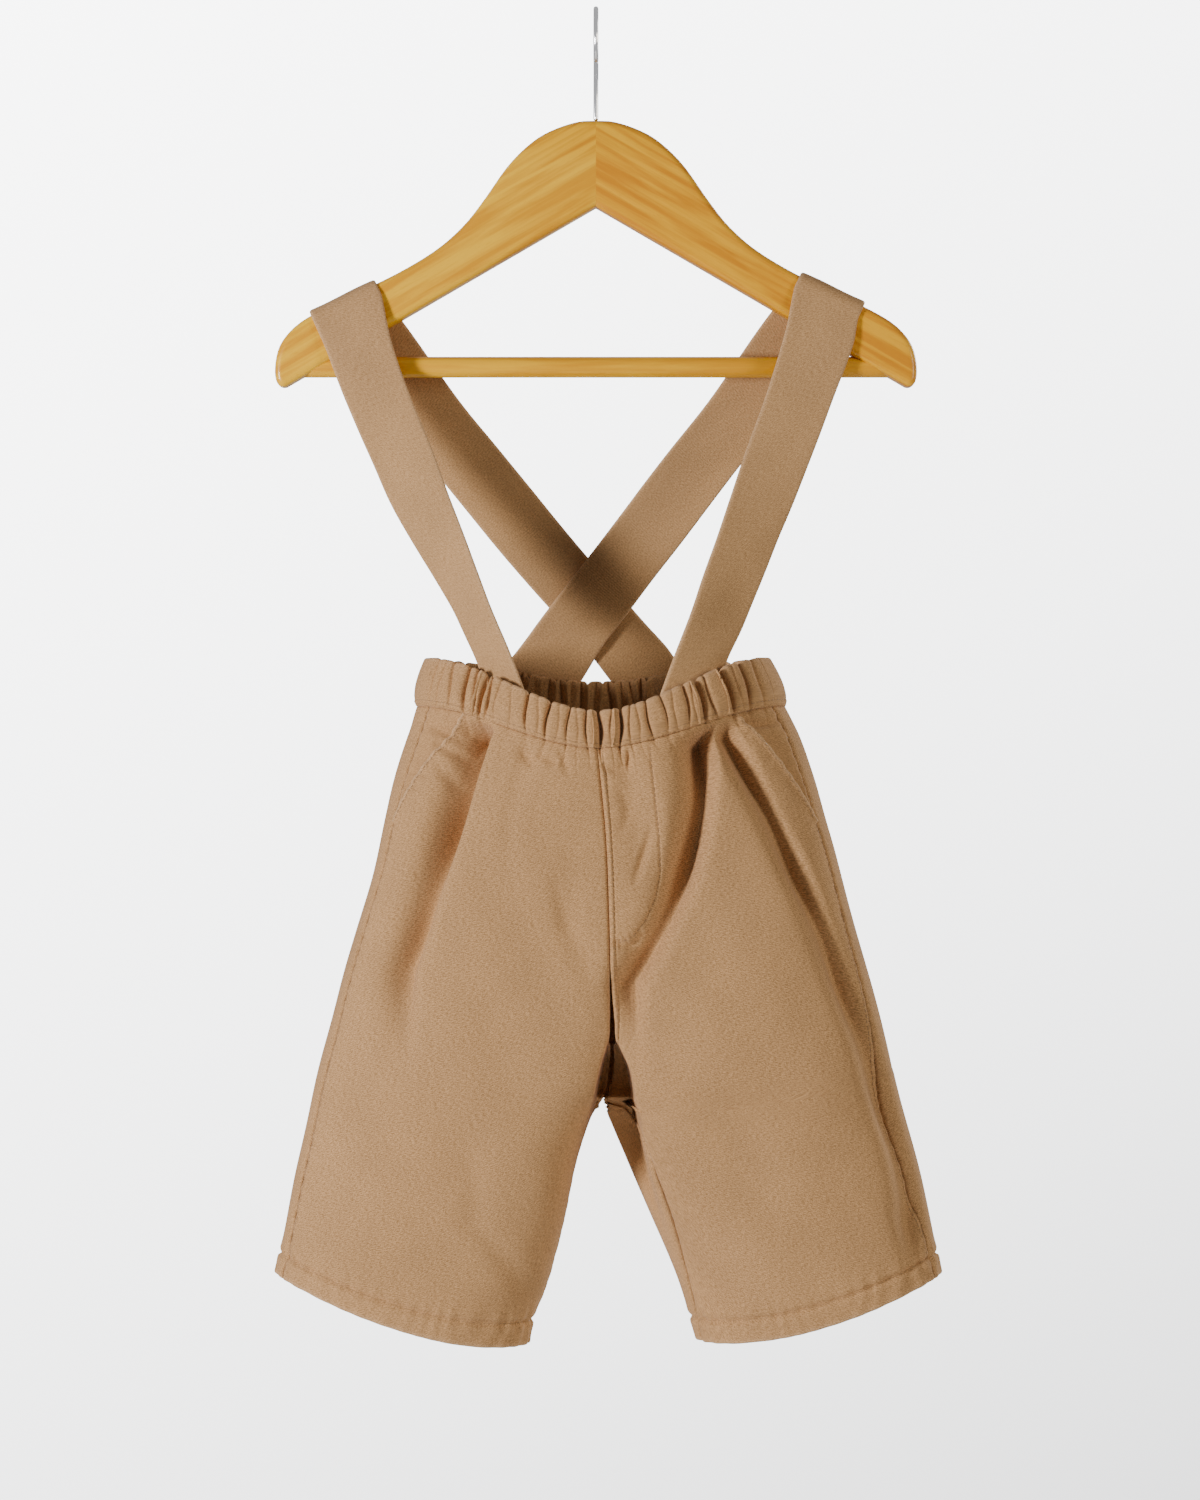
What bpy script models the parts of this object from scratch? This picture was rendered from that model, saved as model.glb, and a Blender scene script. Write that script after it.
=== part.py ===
"""A toddler's bermuda shorts with crossed-back straps, hung on a small wooden hanger.

The origin is the inside top of the hanger's hook. The front faces -Y, and +Z is up.
"Left" and "right" are as seen from the front. Sizes are in millimetres up to the last step.
"""

from collections import namedtuple
from math import ceil, cos, exp, pi, sin, sqrt

import bmesh
import bpy
from mathutils import Vector

MM = 0.001

# Cloth
CLOTH = 1.2
HEM_CLOTH = 2.4
STRAP_CLOTH = 2.0
BAND_CLOTH = 2.6
SEAM_GAP = 0.3
CROTCH_GAP_RATIO = 2.6
LAYER_GAP = 0.3

# Hanger
ARM_THICK = 13.0
ARM_ROUNDING = 5.0
APEX_UNDERSIDE_Z = -91.9
UNDERSIDE_SLOPE = 0.58
BAR_RADIUS = 4.9
BAR_Z = -166.6
BAR_BORE_RADIUS = 5.2
BAR_HALF_LENGTH = 141.0
BAR_BORE_HALF_LENGTH = 141.4
WIRE_RADIUS = 1.2
HOOK_RADIUS = 13.0
STEM_FOOT_Z = -51.1

# Where the parts of a leg's side meet. A "turn" runs round a leg's section: -2 at the back seam,
# -1 at the back's fullest line, 0 at the side, 1 at the front's fullest line, 2 at the front seam.
SIDE_SEAM_TURN = 0.25
CROTCH_FALL = 0.64
SECTION_SQUARENESS = 1.22
SHARED_NORMAL_TURN = 1.6
SWEEP_ROUNDING = 1.6
NORMAL_STEP = 0.012

# A "fall" runs down a leg, from 0 at the waistband's seam to 1 at the hem.
Side = namedtuple("Side", "fall x")
LEFT_SIDE = (
    Side(0.0, -83.9), Side(0.065, -90.0), Side(0.137, -95.6), Side(0.2, -99.3), Side(0.3, -104.2),
    Side(0.4, -112.6), Side(0.6, -127.3), Side(0.8, -138.9), Side(1.0, -150.5),
)
RIGHT_SIDE = (
    Side(0.0, 88.6), Side(0.05, 95.4), Side(0.122, 101.7), Side(0.194, 106.9), Side(0.266, 112.6),
    Side(0.41, 122.8), Side(0.554, 133.4), Side(0.698, 142.9), Side(0.84, 153.2), Side(1.0, 162.7),
)

# Seams in the middle: the rises down to the crotch, then each leg's inner edge down to the hem
Seam = namedtuple("Seam", "fall x y z")
FRONT_RISE = (
    Seam(0.0, 0.7, -44.0, -345.0), Seam(0.16, 4.6, -45.5, -385.0), Seam(0.32, 6.2, -44.5, -425.0),
    Seam(0.44, 6.8, -42.0, -455.0), Seam(0.52, 7.6, -36.0, -476.0), Seam(0.57, 7.4, -25.0, -493.0),
    Seam(0.61, 5.6, -12.0, -505.5), Seam(0.64, 3.0, 2.0, -511.0),
)
BACK_RISE = (
    Seam(0.0, 0.5, 45.0, -333.5), Seam(0.2, 1.6, 48.0, -380.0), Seam(0.35, 2.2, 46.5, -420.0),
    Seam(0.47, 2.8, 42.0, -455.0), Seam(0.55, 3.0, 34.0, -484.0), Seam(0.6, 2.6, 22.0, -504.0),
    Seam(0.64, 3.0, 2.0, -511.0),
)
LEFT_INNER = (
    Seam(0.64, 3.0, 2.0, -511.0), Seam(0.66, -2.3, 3.0, -519.0), Seam(0.72, -8.6, 4.0, -538.0),
    Seam(0.8, -14.3, 4.0, -563.0), Seam(0.9, -21.6, 3.0, -594.0), Seam(0.96, -28.2, 2.0, -612.5),
    Seam(1.0, -31.0, 1.0, -624.5),
)
RIGHT_INNER = (
    Seam(0.64, 3.0, 2.0, -511.0), Seam(0.66, 5.6, 8.0, -519.0), Seam(0.72, 13.6, 14.0, -537.5),
    Seam(0.8, 24.6, 14.0, -562.0), Seam(0.9, 37.4, 9.0, -592.5), Seam(0.96, 43.8, 5.0, -611.0),
    Seam(1.0, 47.5, 3.0, -622.5),
)

# Fullness of a leg's section. peak is how far in from the side its fullest line lies, as a share.
# tuck is 0 where the middle lies flat and 1 where the cloth rolls in between the legs.
Fullness = namedtuple("Fullness", "fall front back peak tuck")
LEFT_FULLNESS = (
    Fullness(0.0, 44.0, 44.0, 0.76, 0.0), Fullness(0.2, 46.0, 47.0, 0.62, 0.0),
    Fullness(0.4, 45.0, 46.0, 0.54, 0.15), Fullness(0.52, 42.0, 43.0, 0.52, 0.7),
    Fullness(0.64, 38.0, 40.0, 0.5, 0.62), Fullness(0.66, 37.0, 39.0, 0.5, 1.0),
    Fullness(0.85, 31.0, 33.0, 0.5, 1.0), Fullness(1.0, 27.0, 28.0, 0.5, 1.0),
)
RIGHT_FULLNESS = (
    Fullness(0.0, 44.0, 44.0, 0.76, 0.0), Fullness(0.2, 45.0, 47.0, 0.66, 0.0),
    Fullness(0.4, 45.0, 46.0, 0.6, 0.15), Fullness(0.52, 43.0, 43.0, 0.58, 0.7),
    Fullness(0.64, 40.0, 40.0, 0.55, 0.62), Fullness(0.66, 39.0, 39.0, 0.54, 1.0),
    Fullness(0.85, 33.0, 33.0, 0.5, 1.0), Fullness(1.0, 28.0, 29.0, 0.5, 1.0),
)

# Where each leg's inner seam lies on its section: the left one at the innermost line, the right
# one turned round towards the front
SeamTurn = namedtuple("SeamTurn", "fall turn")
LEFT_SEAM_TURN = (SeamTurn(0.0, 2.0), SeamTurn(1.0, 2.0))
RIGHT_SEAM_TURN = (
    SeamTurn(0.64, 2.0), SeamTurn(0.67, 1.88), SeamTurn(0.73, 1.66), SeamTurn(0.8, 1.64),
    SeamTurn(0.9, 1.74), SeamTurn(1.0, 1.82),
)

# Slanted pocket edges: the turn where one starts at the waistband, and the fall where it ends
POCKET_TURN = 0.5
POCKET_FALL = 0.2

# Soft troughs. x and z are where a trough starts, passes and fades out, seen from the front.
Fold = namedtuple("Fold", "face top_x top_z mid_x mid_z low_x low_z width depth")
FOLDS = (
    Fold("front", -48.8, -330.0, -63.0, -385.0, -90.0, -462.0, 9.0, 3.6),
    Fold("front", 48.5, -330.0, 47.5, -395.0, 16.0, -458.0, 7.5, 6.0),
    Fold("front", 56.0, -335.0, 93.0, -420.0, 140.0, -530.0, 9.0, 4.2),
    Fold("front", -30.0, -342.0, -34.0, -356.0, -40.0, -374.0, 4.5, 1.6),
    Fold("front", 12.0, -346.0, 15.0, -360.0, 19.0, -380.0, 4.5, 1.6),
    Fold("front", -12.0, -428.0, -5.0, -446.0, 3.0, -470.0, 6.0, 1.4),
    Fold("front", -56.0, -566.0, -40.0, -584.0, -30.0, -606.0, 7.0, 1.6),
    Fold("front", 142.0, -560.0, 149.0, -575.0, 158.0, -590.0, 6.0, 1.6),
    Fold("back", -52.0, -330.0, -60.0, -390.0, -82.0, -470.0, 9.0, 3.0),
    Fold("back", 24.0, -332.0, 30.0, -380.0, 46.0, -450.0, 8.0, 2.6),
    Fold("back", 60.0, -330.0, 76.0, -400.0, 112.0, -500.0, 9.0, 3.0),
    Fold("back", -22.0, -440.0, -46.0, -480.0, -84.0, -520.0, 9.0, 2.4),
    Fold("back", 26.0, -446.0, 52.0, -486.0, 92.0, -526.0, 9.0, 2.4),
)
FOLD_FADE = 26.0
FOLD_LOW_SHARE = 0.45
FOLD_START_FALL = 0.07

# Waistband: its top edge, and its gathers by distance from the centre front along the seam
BAND_LEFT_X = -78.2
BAND_RIGHT_X = 79.6
BAND_TOP_SIDE_Z = -303.8
BAND_TOP_FRONT_Z = -328.0
BAND_TOP_BACK_Z = -313.5
BAND_TOP_DEPTH = 43.5
BAND_PUFF = 1.0
GATHER_RELIEF = 0.8
Gather = namedtuple("Gather", "place depth width")
FRONT_GATHERS = (
    Gather(-92.0, 2.6, 2.0), Gather(-84.0, 2.1, 1.8), Gather(-76.0, 2.9, 2.0), Gather(-67.0, 3.4, 2.2),
    Gather(-57.5, 2.1, 1.8), Gather(-50.0, 2.9, 2.0), Gather(-36.0, 2.3, 2.0), Gather(-29.5, 1.8, 1.8),
    Gather(-22.0, 2.6, 2.0), Gather(-13.0, 2.0, 1.8), Gather(-5.5, 2.5, 2.0), Gather(2.5, 3.4, 2.2),
    Gather(11.0, 3.1, 2.0), Gather(19.0, 1.8, 1.8), Gather(26.0, 2.1, 1.8), Gather(35.0, 2.0, 1.8),
    Gather(45.0, 2.6, 2.0), Gather(54.0, 3.4, 2.2), Gather(62.0, 2.0, 1.8), Gather(71.0, 3.1, 2.0),
    Gather(80.0, 2.9, 2.2), Gather(89.0, 2.2, 1.9),
)
BACK_GATHER_COUNT = 22
BACK_GATHER_SPAN = 92.0

# Straps: two edge lines each, from the end inside the front waistband, over the arm, to the back
Edge = namedtuple("Edge", "outer_x outer_y outer_z inner_x inner_y inner_z bow", defaults=(0.0,))
LEFT_STRAP_FRONT = (
    Edge(-64.2, -13.5, -285.4, -45.9, -36.0, -286.3), Edge(-74.5, -11.0, -266.7, -53.3, -32.5, -267.7),
    Edge(-86.2, -10.5, -248.1, -59.9, -28.0, -249.1), Edge(-96.5, -10.2, -229.4, -67.2, -23.5, -230.4),
    Edge(-104.8, -10.0, -210.8, -74.8, -19.0, -209.2), Edge(-117.0, -9.6, -182.8, -86.4, -14.0, -181.0),
    Edge(-125.9, -9.0, -159.4, -95.5, -10.6, -154.9),
)
RIGHT_STRAP_FRONT = (
    Edge(69.6, -17.0, -285.6, 42.4, -33.5, -286.2), Edge(77.2, -15.0, -266.9, 48.8, -29.5, -267.6),
    Edge(84.8, -13.0, -248.2, 55.4, -25.5, -248.9), Edge(92.6, -12.0, -229.5, 61.8, -22.0, -230.2),
    Edge(100.0, -11.0, -210.8, 68.0, -18.5, -211.5), Edge(110.5, -10.0, -182.8, 79.0, -14.0, -181.0),
    Edge(120.0, -9.0, -157.0, 88.4, -10.6, -150.3),
)
LEFT_STRAP_BACK = (
    Edge(-127.0, 9.4, -157.0, -91.0, 9.6, -144.0), Edge(-105.9, 16.0, -180.5, -64.8, 15.4, -180.5),
    Edge(-81.2, 24.0, -208.3, -41.8, 23.4, -208.3), Edge(-50.6, 34.5, -245.7, -10.9, 34.5, -245.7),
    Edge(-34.5, 39.5, -264.6, 5.5, 39.5, -264.6), Edge(-17.3, 44.5, -283.6, 22.3, 44.5, -283.6),
    Edge(-5.6, 47.6, -296.6, 34.2, 47.4, -296.6),
)
RIGHT_STRAP_BACK = (
    Edge(119.0, 9.2, -154.0, 82.5, 9.4, -139.6), Edge(94.0, 14.0, -180.6, 53.6, 14.0, -180.6),
    Edge(70.6, 20.5, -208.4, 31.3, 20.5, -208.4), Edge(41.9, 29.5, -245.9, 2.6, 29.5, -245.9),
    Edge(27.2, 34.5, -264.7, -12.2, 34.5, -264.7), Edge(12.9, 39.5, -283.6, -26.9, 40.0, -283.6),
    Edge(3.0, 43.2, -296.6, -36.6, 43.6, -296.6),
)
LEFT_STRAP_FOLD_X = (-134.0, -103.4)
RIGHT_STRAP_FOLD_X = (125.9, 96.0)
STRAP_WRAP_ROWS = 9
STRAP_LIFT = 1.9
STRAP_WRAP_SQUARENESS = 0.77
STRAP_TUCK_HEIGHTS = (0.12, 0.5, 0.95)

# The turns of a strap end's two edges on the waistband, at its seam and at its top
Tuck = namedtuple("Tuck", "outer_low inner_low outer_top inner_top")
LEFT_FRONT_END = Tuck(0.62, 0.88, 0.53, 0.79)
RIGHT_FRONT_END = Tuck(0.56, 0.94, 0.47, 0.85)
LEFT_BACK_END = Tuck(-1.03, -0.54, -1.66, -0.72)
RIGHT_BACK_END = Tuck(-0.945, -0.5, -1.61, -0.67)

# The hanger's upper edge, in distance from the middle, and height
Profile = namedtuple("Profile", "out z")
ARM_TOP = (
    Profile(0.0, -51.6), Profile(8.0, -52.0), Profile(19.2, -55.5), Profile(29.1, -61.0),
    Profile(40.8, -72.2), Profile(52.7, -89.0), Profile(61.6, -100.3), Profile(74.0, -111.4),
    Profile(92.3, -122.6), Profile(115.0, -133.6), Profile(132.0, -142.0), Profile(141.5, -148.5),
    Profile(148.0, -157.0), Profile(150.2, -167.0), Profile(149.2, -174.2),
)
TIP_UNDERSIDE_OUT = 145.0

Leg = namedtuple("Leg", "sign side fullness inner seam_turn band_x")
LEFT = Leg(-1, LEFT_SIDE, LEFT_FULLNESS, LEFT_INNER, LEFT_SEAM_TURN, BAND_LEFT_X)
RIGHT = Leg(1, RIGHT_SIDE, RIGHT_FULLNESS, RIGHT_INNER, RIGHT_SEAM_TURN, BAND_RIGHT_X)

SIDE_TOP_Z = -325.5
SIDE_HEM_Z = -590.5


def clear_scene():
    for obj in list(bpy.data.objects):
        bpy.data.objects.remove(obj)


def mix(a, b, share):
    return a + (b - a) * share


def smooth_step(share):
    share = min(max(share, 0.0), 1.0)
    return share * share * (3.0 - 2.0 * share)


def along(rows, field, place, key=0):
    """The column named field at a place on the first column, on a smooth curve through the rows."""
    xs = [row[key] for row in rows]
    ys = [getattr(row, field) for row in rows]
    place = min(max(place, xs[0]), xs[-1])
    i = 0
    while i < len(xs) - 2 and place > xs[i + 1]:
        i += 1

    def slope(k):
        low, high = max(k - 1, 0), min(k + 1, len(xs) - 1)
        return (ys[high] - ys[low]) / (xs[high] - xs[low])

    span = xs[i + 1] - xs[i]
    t = (place - xs[i]) / span
    start = (1 + 2 * t) * (1 - t) ** 2 * ys[i] + t * (1 - t) ** 2 * span * slope(i)
    end = t * t * (3 - 2 * t) * ys[i + 1] + t * t * (t - 1) * span * slope(i + 1)
    return start + end


# The smooth garment


def middle(leg, face, fall):
    """The point of the middle seam, or of a leg's innermost line, that a section runs in to."""
    if fall > CROTCH_FALL:
        rows = leg.inner
    else:
        rows = FRONT_RISE if face == "front" else BACK_RISE
    return tuple(along(rows, field, fall) for field in ("x", "y", "z"))


def smooth_point(leg, turn, fall):
    """A point of the garment without its folds."""
    face = "front" if turn >= 0 else "back"
    side_x = along(leg.side, "x", fall)
    side_z = mix(SIDE_TOP_Z, SIDE_HEM_Z, fall)
    inner_x, inner_y, inner_z = middle(leg, face, fall)
    depth = along(leg.fullness, face, fall) * (-1 if face == "front" else 1)
    peak_x = mix(side_x, inner_x, along(leg.fullness, "peak", fall))
    across = min(abs(turn), 1.0) * pi / 2
    if abs(turn) <= 1.0:
        x = mix(side_x, peak_x, 1 - cos(across) ** SECTION_SQUARENESS)
        y = depth * sin(across) ** SECTION_SQUARENESS
    else:
        inward = min(abs(turn) - 1.0, 1.0) * pi / 2
        tuck = along(leg.fullness, "tuck", fall)
        x = mix(peak_x, inner_x, mix(inward * 2 / pi, sin(inward), tuck))
        y = mix(depth, inner_y, 1 - cos(inward))
    share = min(max((x - side_x) / (inner_x - side_x), 0.0), 1.0)
    sweep = mix(smooth_step(share), sin(share * pi / 2), min(max(fall, 0.0) * SWEEP_ROUNDING, 1.0))
    return Vector((x, y, mix(side_z, inner_z, sweep)))


def section_normal(leg, turn, fall):
    step = NORMAL_STEP
    across = smooth_point(leg, min(turn + step, 2.0), fall) - smooth_point(leg, max(turn - step, -2.0), fall)
    down = smooth_point(leg, turn, min(fall + step, 1.0)) - smooth_point(leg, turn, max(fall - step, 0.0))
    return (across.cross(down) * leg.sign).normalized()


def outward(leg, turn, fall):
    """The way out of the cloth. Front and back share it along the inner seam."""
    normal = section_normal(leg, turn, fall)
    if fall < CROTCH_FALL or abs(turn) < SHARED_NORMAL_TURN:
        return normal
    shared = section_normal(leg, 2.0, fall) + section_normal(leg, -2.0, fall)
    share = smooth_step((abs(turn) - SHARED_NORMAL_TURN) / (2.0 - SHARED_NORMAL_TURN))
    return normal.lerp(shared.normalized(), share).normalized()


def fold_depth(point, face, fall):
    """How far the folds push a point of the smooth garment in. The waistband's seam holds them flat."""
    pushed = 0.0
    for fold in FOLDS:
        if fold.face != face:
            continue
        down = (fold.top_z - point.z) / (fold.top_z - fold.low_z)
        mid = (fold.top_z - fold.mid_z) / (fold.top_z - fold.low_z)
        reach = min(max(down, 0.0), 1.0)
        straight = mix(fold.top_x, fold.low_x, reach)
        bow = (fold.mid_x - mix(fold.top_x, fold.low_x, mid)) / (mid * (1 - mid))
        line_x = straight + bow * reach * (1 - reach)
        beyond = (down - reach) * (fold.top_z - fold.low_z)
        fade = exp(-((beyond / FOLD_FADE) ** 2)) * mix(1.0, FOLD_LOW_SHARE, reach)
        pushed += fold.depth * fade * exp(-(((point.x - line_x) / fold.width) ** 2))
    return pushed * smooth_step(fall / FOLD_START_FALL)


def garment_point(leg, turn, fall, offset):
    """A point of the folded cloth, moved out by the offset. A turn past the inner line comes
    round onto the front, where the right leg's back panel reaches."""
    if turn < -2.0:
        turn = 4.0 + turn
    point = smooth_point(leg, turn, fall)
    face = "front" if turn >= 0 else "back"
    return point + outward(leg, turn, fall) * (offset - fold_depth(point, face, fall))


def turn_step(leg, turn, fall, distance):
    """The change of turn that moves a point this far round the section."""
    step = 0.01 if turn < 1.9 else -0.01
    reach = (smooth_point(leg, turn + step, fall) - smooth_point(leg, turn, fall)).length
    return distance * 0.01 / reach


# Solids

KHAKI = (0.462, 0.297, 0.168)
HONEY = (0.70, 0.42, 0.10)
CHROME = (0.8, 0.8, 0.8)


def make_material(name, color, roughness, metallic=0.0):
    material = bpy.data.materials.new(name)
    material.use_nodes = True
    shader = material.node_tree.nodes["Principled BSDF"]
    shader.inputs["Base Color"].default_value = (*color, 1.0)
    shader.inputs["Roughness"].default_value = roughness
    shader.inputs["Metallic"].default_value = metallic
    return material


def make_twill(name):
    return make_material(name, KHAKI, 0.85)


def add_object(name, data, collection, material):
    obj = bpy.data.objects.new(name, data)
    obj.data.materials.append(material)
    collection.objects.link(obj)
    return obj


def make_slab(name, columns, rows, place, collection, material):
    """A wall of cloth: a grid across u and down v, 0 to 1, with an inner and an outer side, w 0 and 1."""
    bm = bmesh.new()
    bmesh.ops.create_grid(bm, x_segments=columns, y_segments=rows, size=0.5)
    bmesh.ops.translate(bm, verts=bm.verts, vec=(0.5, 0.5, 0.0))
    raised = bmesh.ops.extrude_face_region(bm, geom=bm.faces[:])["geom"]
    outer = [item for item in raised if isinstance(item, bmesh.types.BMVert)]
    bmesh.ops.translate(bm, verts=outer, vec=(0.0, 0.0, 1.0))
    bmesh.ops.recalc_face_normals(bm, faces=bm.faces)
    for vert in bm.verts:
        vert.co = place(*vert.co) * MM
    if bm.calc_volume(signed=True) < 0:
        bmesh.ops.reverse_faces(bm, faces=bm.faces)
    mesh = bpy.data.meshes.new(name)
    bm.to_mesh(mesh)
    bm.free()
    mesh.shade_smooth()
    mesh.set_sharp_from_angle(angle=0.9)
    return add_object(name, mesh, collection, material)


# Rows of a panel: closer together at the crotch, and a pair at the hem's fold
CROWDING_ABOVE_CROTCH = 1.35
CROWDING_BELOW_CROTCH = 1.25
HEM_FALL = 0.964
HEM_STEP = 0.004
ROWS_TO_POCKET = 5
ROWS_TO_CROTCH = 9
ROWS_TO_HEM = 7


def panel_falls():
    end = HEM_FALL - HEM_STEP
    pocket = [POCKET_FALL * i / ROWS_TO_POCKET for i in range(ROWS_TO_POCKET)]
    rise = [mix(CROTCH_FALL, POCKET_FALL, (1 - i / ROWS_TO_CROTCH) ** CROWDING_ABOVE_CROTCH)
            for i in range(ROWS_TO_CROTCH)]
    leg = [mix(CROTCH_FALL, end, (i / ROWS_TO_HEM) ** CROWDING_BELOW_CROTCH)
           for i in range(ROWS_TO_HEM + 1)]
    return pocket + rise + leg + [HEM_FALL, 1.0]


PANEL_FALLS = panel_falls()
PANEL_ROWS = len(PANEL_FALLS) - 1
PANEL_COLUMNS = 16


def front_start(leg, fall):
    """The front panel's outer edge: the slanted pocket, then the side seam."""
    share = max(1 - fall / POCKET_FALL, 0.0)
    return mix(SIDE_SEAM_TURN, POCKET_TURN, share)


def inseam_gap(fall):
    """Half the gap along the inner seam, wider where four panels meet at the crotch."""
    return SEAM_GAP / 2 * mix(CROTCH_GAP_RATIO, 1.0, smooth_step((fall - CROTCH_FALL) / 0.08))


def seam_gap_x(leg, turn, fall):
    """Half the seam's gap, in x, on the rises. It fades out to nothing one leg's width away."""
    near = max(abs(turn) - 1.5, 0.0) / 0.5
    return leg.sign * SEAM_GAP / 2 * near if fall <= CROTCH_FALL else 0.0


def panel_point(leg, turn, fall, offset):
    point = garment_point(leg, turn, fall, offset)
    point.x += seam_gap_x(leg, turn, fall)
    return point


def wall_offset(fall, w):
    thick = HEM_CLOTH if fall >= HEM_FALL - HEM_STEP / 2 else CLOTH
    return -thick * (1 - w)


def front_ends(leg, fall):
    """The turns of the front panel's outer and inner edges, each clear of its seam."""
    start = front_start(leg, fall)
    end = along(leg.seam_turn, "turn", fall)
    if fall > CROTCH_FALL:
        end -= turn_step(leg, end, fall, inseam_gap(fall))
    return start + turn_step(leg, start, fall, SEAM_GAP / 2), end


def make_front_panel(name, leg, collection, material):
    def place(u, v, w):
        fall = PANEL_FALLS[round(v * PANEL_ROWS)]
        start, end = front_ends(leg, fall)
        return panel_point(leg, mix(start, end, u), fall, wall_offset(fall, w))

    return make_slab(name, PANEL_COLUMNS, PANEL_ROWS, place, collection, material)


def make_back_panel(name, leg, collection, material):
    def place(u, v, w):
        fall = PANEL_FALLS[round(v * PANEL_ROWS)]
        start = SIDE_SEAM_TURN - turn_step(leg, SIDE_SEAM_TURN, fall, SEAM_GAP / 2)
        end = -2.0
        if fall > CROTCH_FALL:
            seam = along(leg.seam_turn, "turn", fall)
            end = seam - 4.0 + turn_step(leg, seam, fall, inseam_gap(fall))
        return panel_point(leg, mix(start, end, u), fall, wall_offset(fall, w))

    return make_slab(name, PANEL_COLUMNS, PANEL_ROWS, place, collection, material)


FACING_COLUMNS = 5
FACING_END_RISE = 0.003


def make_pocket_facing(name, leg, collection, material):
    under = CLOTH + LAYER_GAP

    def place(u, v, w):
        fall = PANEL_FALLS[round(v * ROWS_TO_POCKET)] - FACING_END_RISE * v
        slant, end = front_ends(leg, fall)
        start = SIDE_SEAM_TURN + turn_step(leg, SIDE_SEAM_TURN, fall, SEAM_GAP / 2)
        column = round(u * FACING_COLUMNS)
        if column < FACING_COLUMNS:
            turn = mix(start, slant, column / (FACING_COLUMNS - 1))
        else:
            turn = mix(slant, end, 1 / PANEL_COLUMNS)
        sunk = smooth_step(column / (FACING_COLUMNS - 1))
        return garment_point(leg, turn, fall, -under * sunk - CLOTH * (1 - w))

    return make_slab(name, FACING_COLUMNS, ROWS_TO_POCKET, place, collection, material)


# The mock fly's facing, under the right front panel: how far down and across it reaches
FLY_FALL = 0.375
FLY_CURVE_FALL = 0.26
FLY_WIDTH_TURN = 0.74
FLY_TOP_FALL = 0.004
FLY_COLUMNS = 6
FLY_ROWS = 12


def make_fly_facing(name, leg, collection, material):
    under = CLOTH + 2 * LAYER_GAP

    def place(u, v, w):
        fall = mix(FLY_TOP_FALL, FLY_FALL, v)
        down = max(fall - FLY_CURVE_FALL, 0.0) / (FLY_FALL - FLY_CURVE_FALL)
        width = FLY_WIDTH_TURN * sqrt(max(1 - down * down, 0.02))
        turn = mix(2.0, 2.0 - width, u)
        return panel_point(leg, turn, fall, -under - CLOTH * (1 - w))

    return make_slab(name, FLY_COLUMNS, FLY_ROWS, place, collection, material)


# Waistband

MEASURING_STEPS = 120


def band_top(leg, turn):
    """The waistband's top edge above the point of its seam at this turn."""
    seam = smooth_point(leg, turn, 0.0)
    side_x = along(leg.side, "x", 0.0)
    inner_x = middle(leg, "front" if turn >= 0 else "back", 0.0)[0]
    share = (seam.x - side_x) / (inner_x - side_x)
    middle_z = BAND_TOP_FRONT_Z if turn >= 0 else BAND_TOP_BACK_Z
    depth = BAND_TOP_DEPTH / 44.0
    x = mix(leg.band_x, inner_x, share)
    return Vector((x, seam.y * depth, mix(BAND_TOP_SIDE_Z, middle_z, smooth_step(share))))


def band_point(leg, turn, height, offset):
    """A point of the waistband, from its seam at height 0 to its top at 1."""
    low = smooth_point(leg, turn, 0.0)
    point = low.lerp(band_top(leg, turn), height)
    return point + outward(leg, turn, 0.0) * (offset + BAND_PUFF * sin(pi * height))


def measured_turns(face):
    """Distances along the waistband's seam from the centre, by leg, with the turn at each."""
    table = {}
    end = 2.0 if face == "front" else -2.0
    for leg in (LEFT, RIGHT):
        distance = 0.0
        rows = [(0.0, end)]
        last = smooth_point(leg, end, 0.0)
        for i in range(1, MEASURING_STEPS + 1):
            turn = mix(end, SIDE_SEAM_TURN, i / MEASURING_STEPS)
            here = smooth_point(leg, turn, 0.0)
            distance += (here - last).length
            last = here
            rows.append((distance, turn))
        table[leg] = rows
    return table


def turn_at(rows, distance):
    for (low, turn_low), (high, turn_high) in zip(rows, rows[1:]):
        if distance <= high:
            return mix(turn_low, turn_high, (distance - low) / (high - low))
    return rows[-1][1]


def back_gathers():
    rows = []
    for i in range(BACK_GATHER_COUNT):
        place = mix(-BACK_GATHER_SPAN, BACK_GATHER_SPAN, (i + 0.5) / BACK_GATHER_COUNT)
        place += 1.3 * sin(5.1 * i)
        rows.append(Gather(place, 2.5 + 0.6 * sin(3.7 * i + 1.0), 1.95 + 0.15 * sin(2.3 * i)))
    return rows


BAND_COLUMNS = 126
BAND_ROWS = 3
BAND_SEAM_HEIGHT = 0.022
RELIEF_AT_SEAM = 0.4
RELIEF_AT_TOP = 0.8
RELIEF_RISE = 2.2
RELIEF_INSIDE = 0.45


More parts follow.
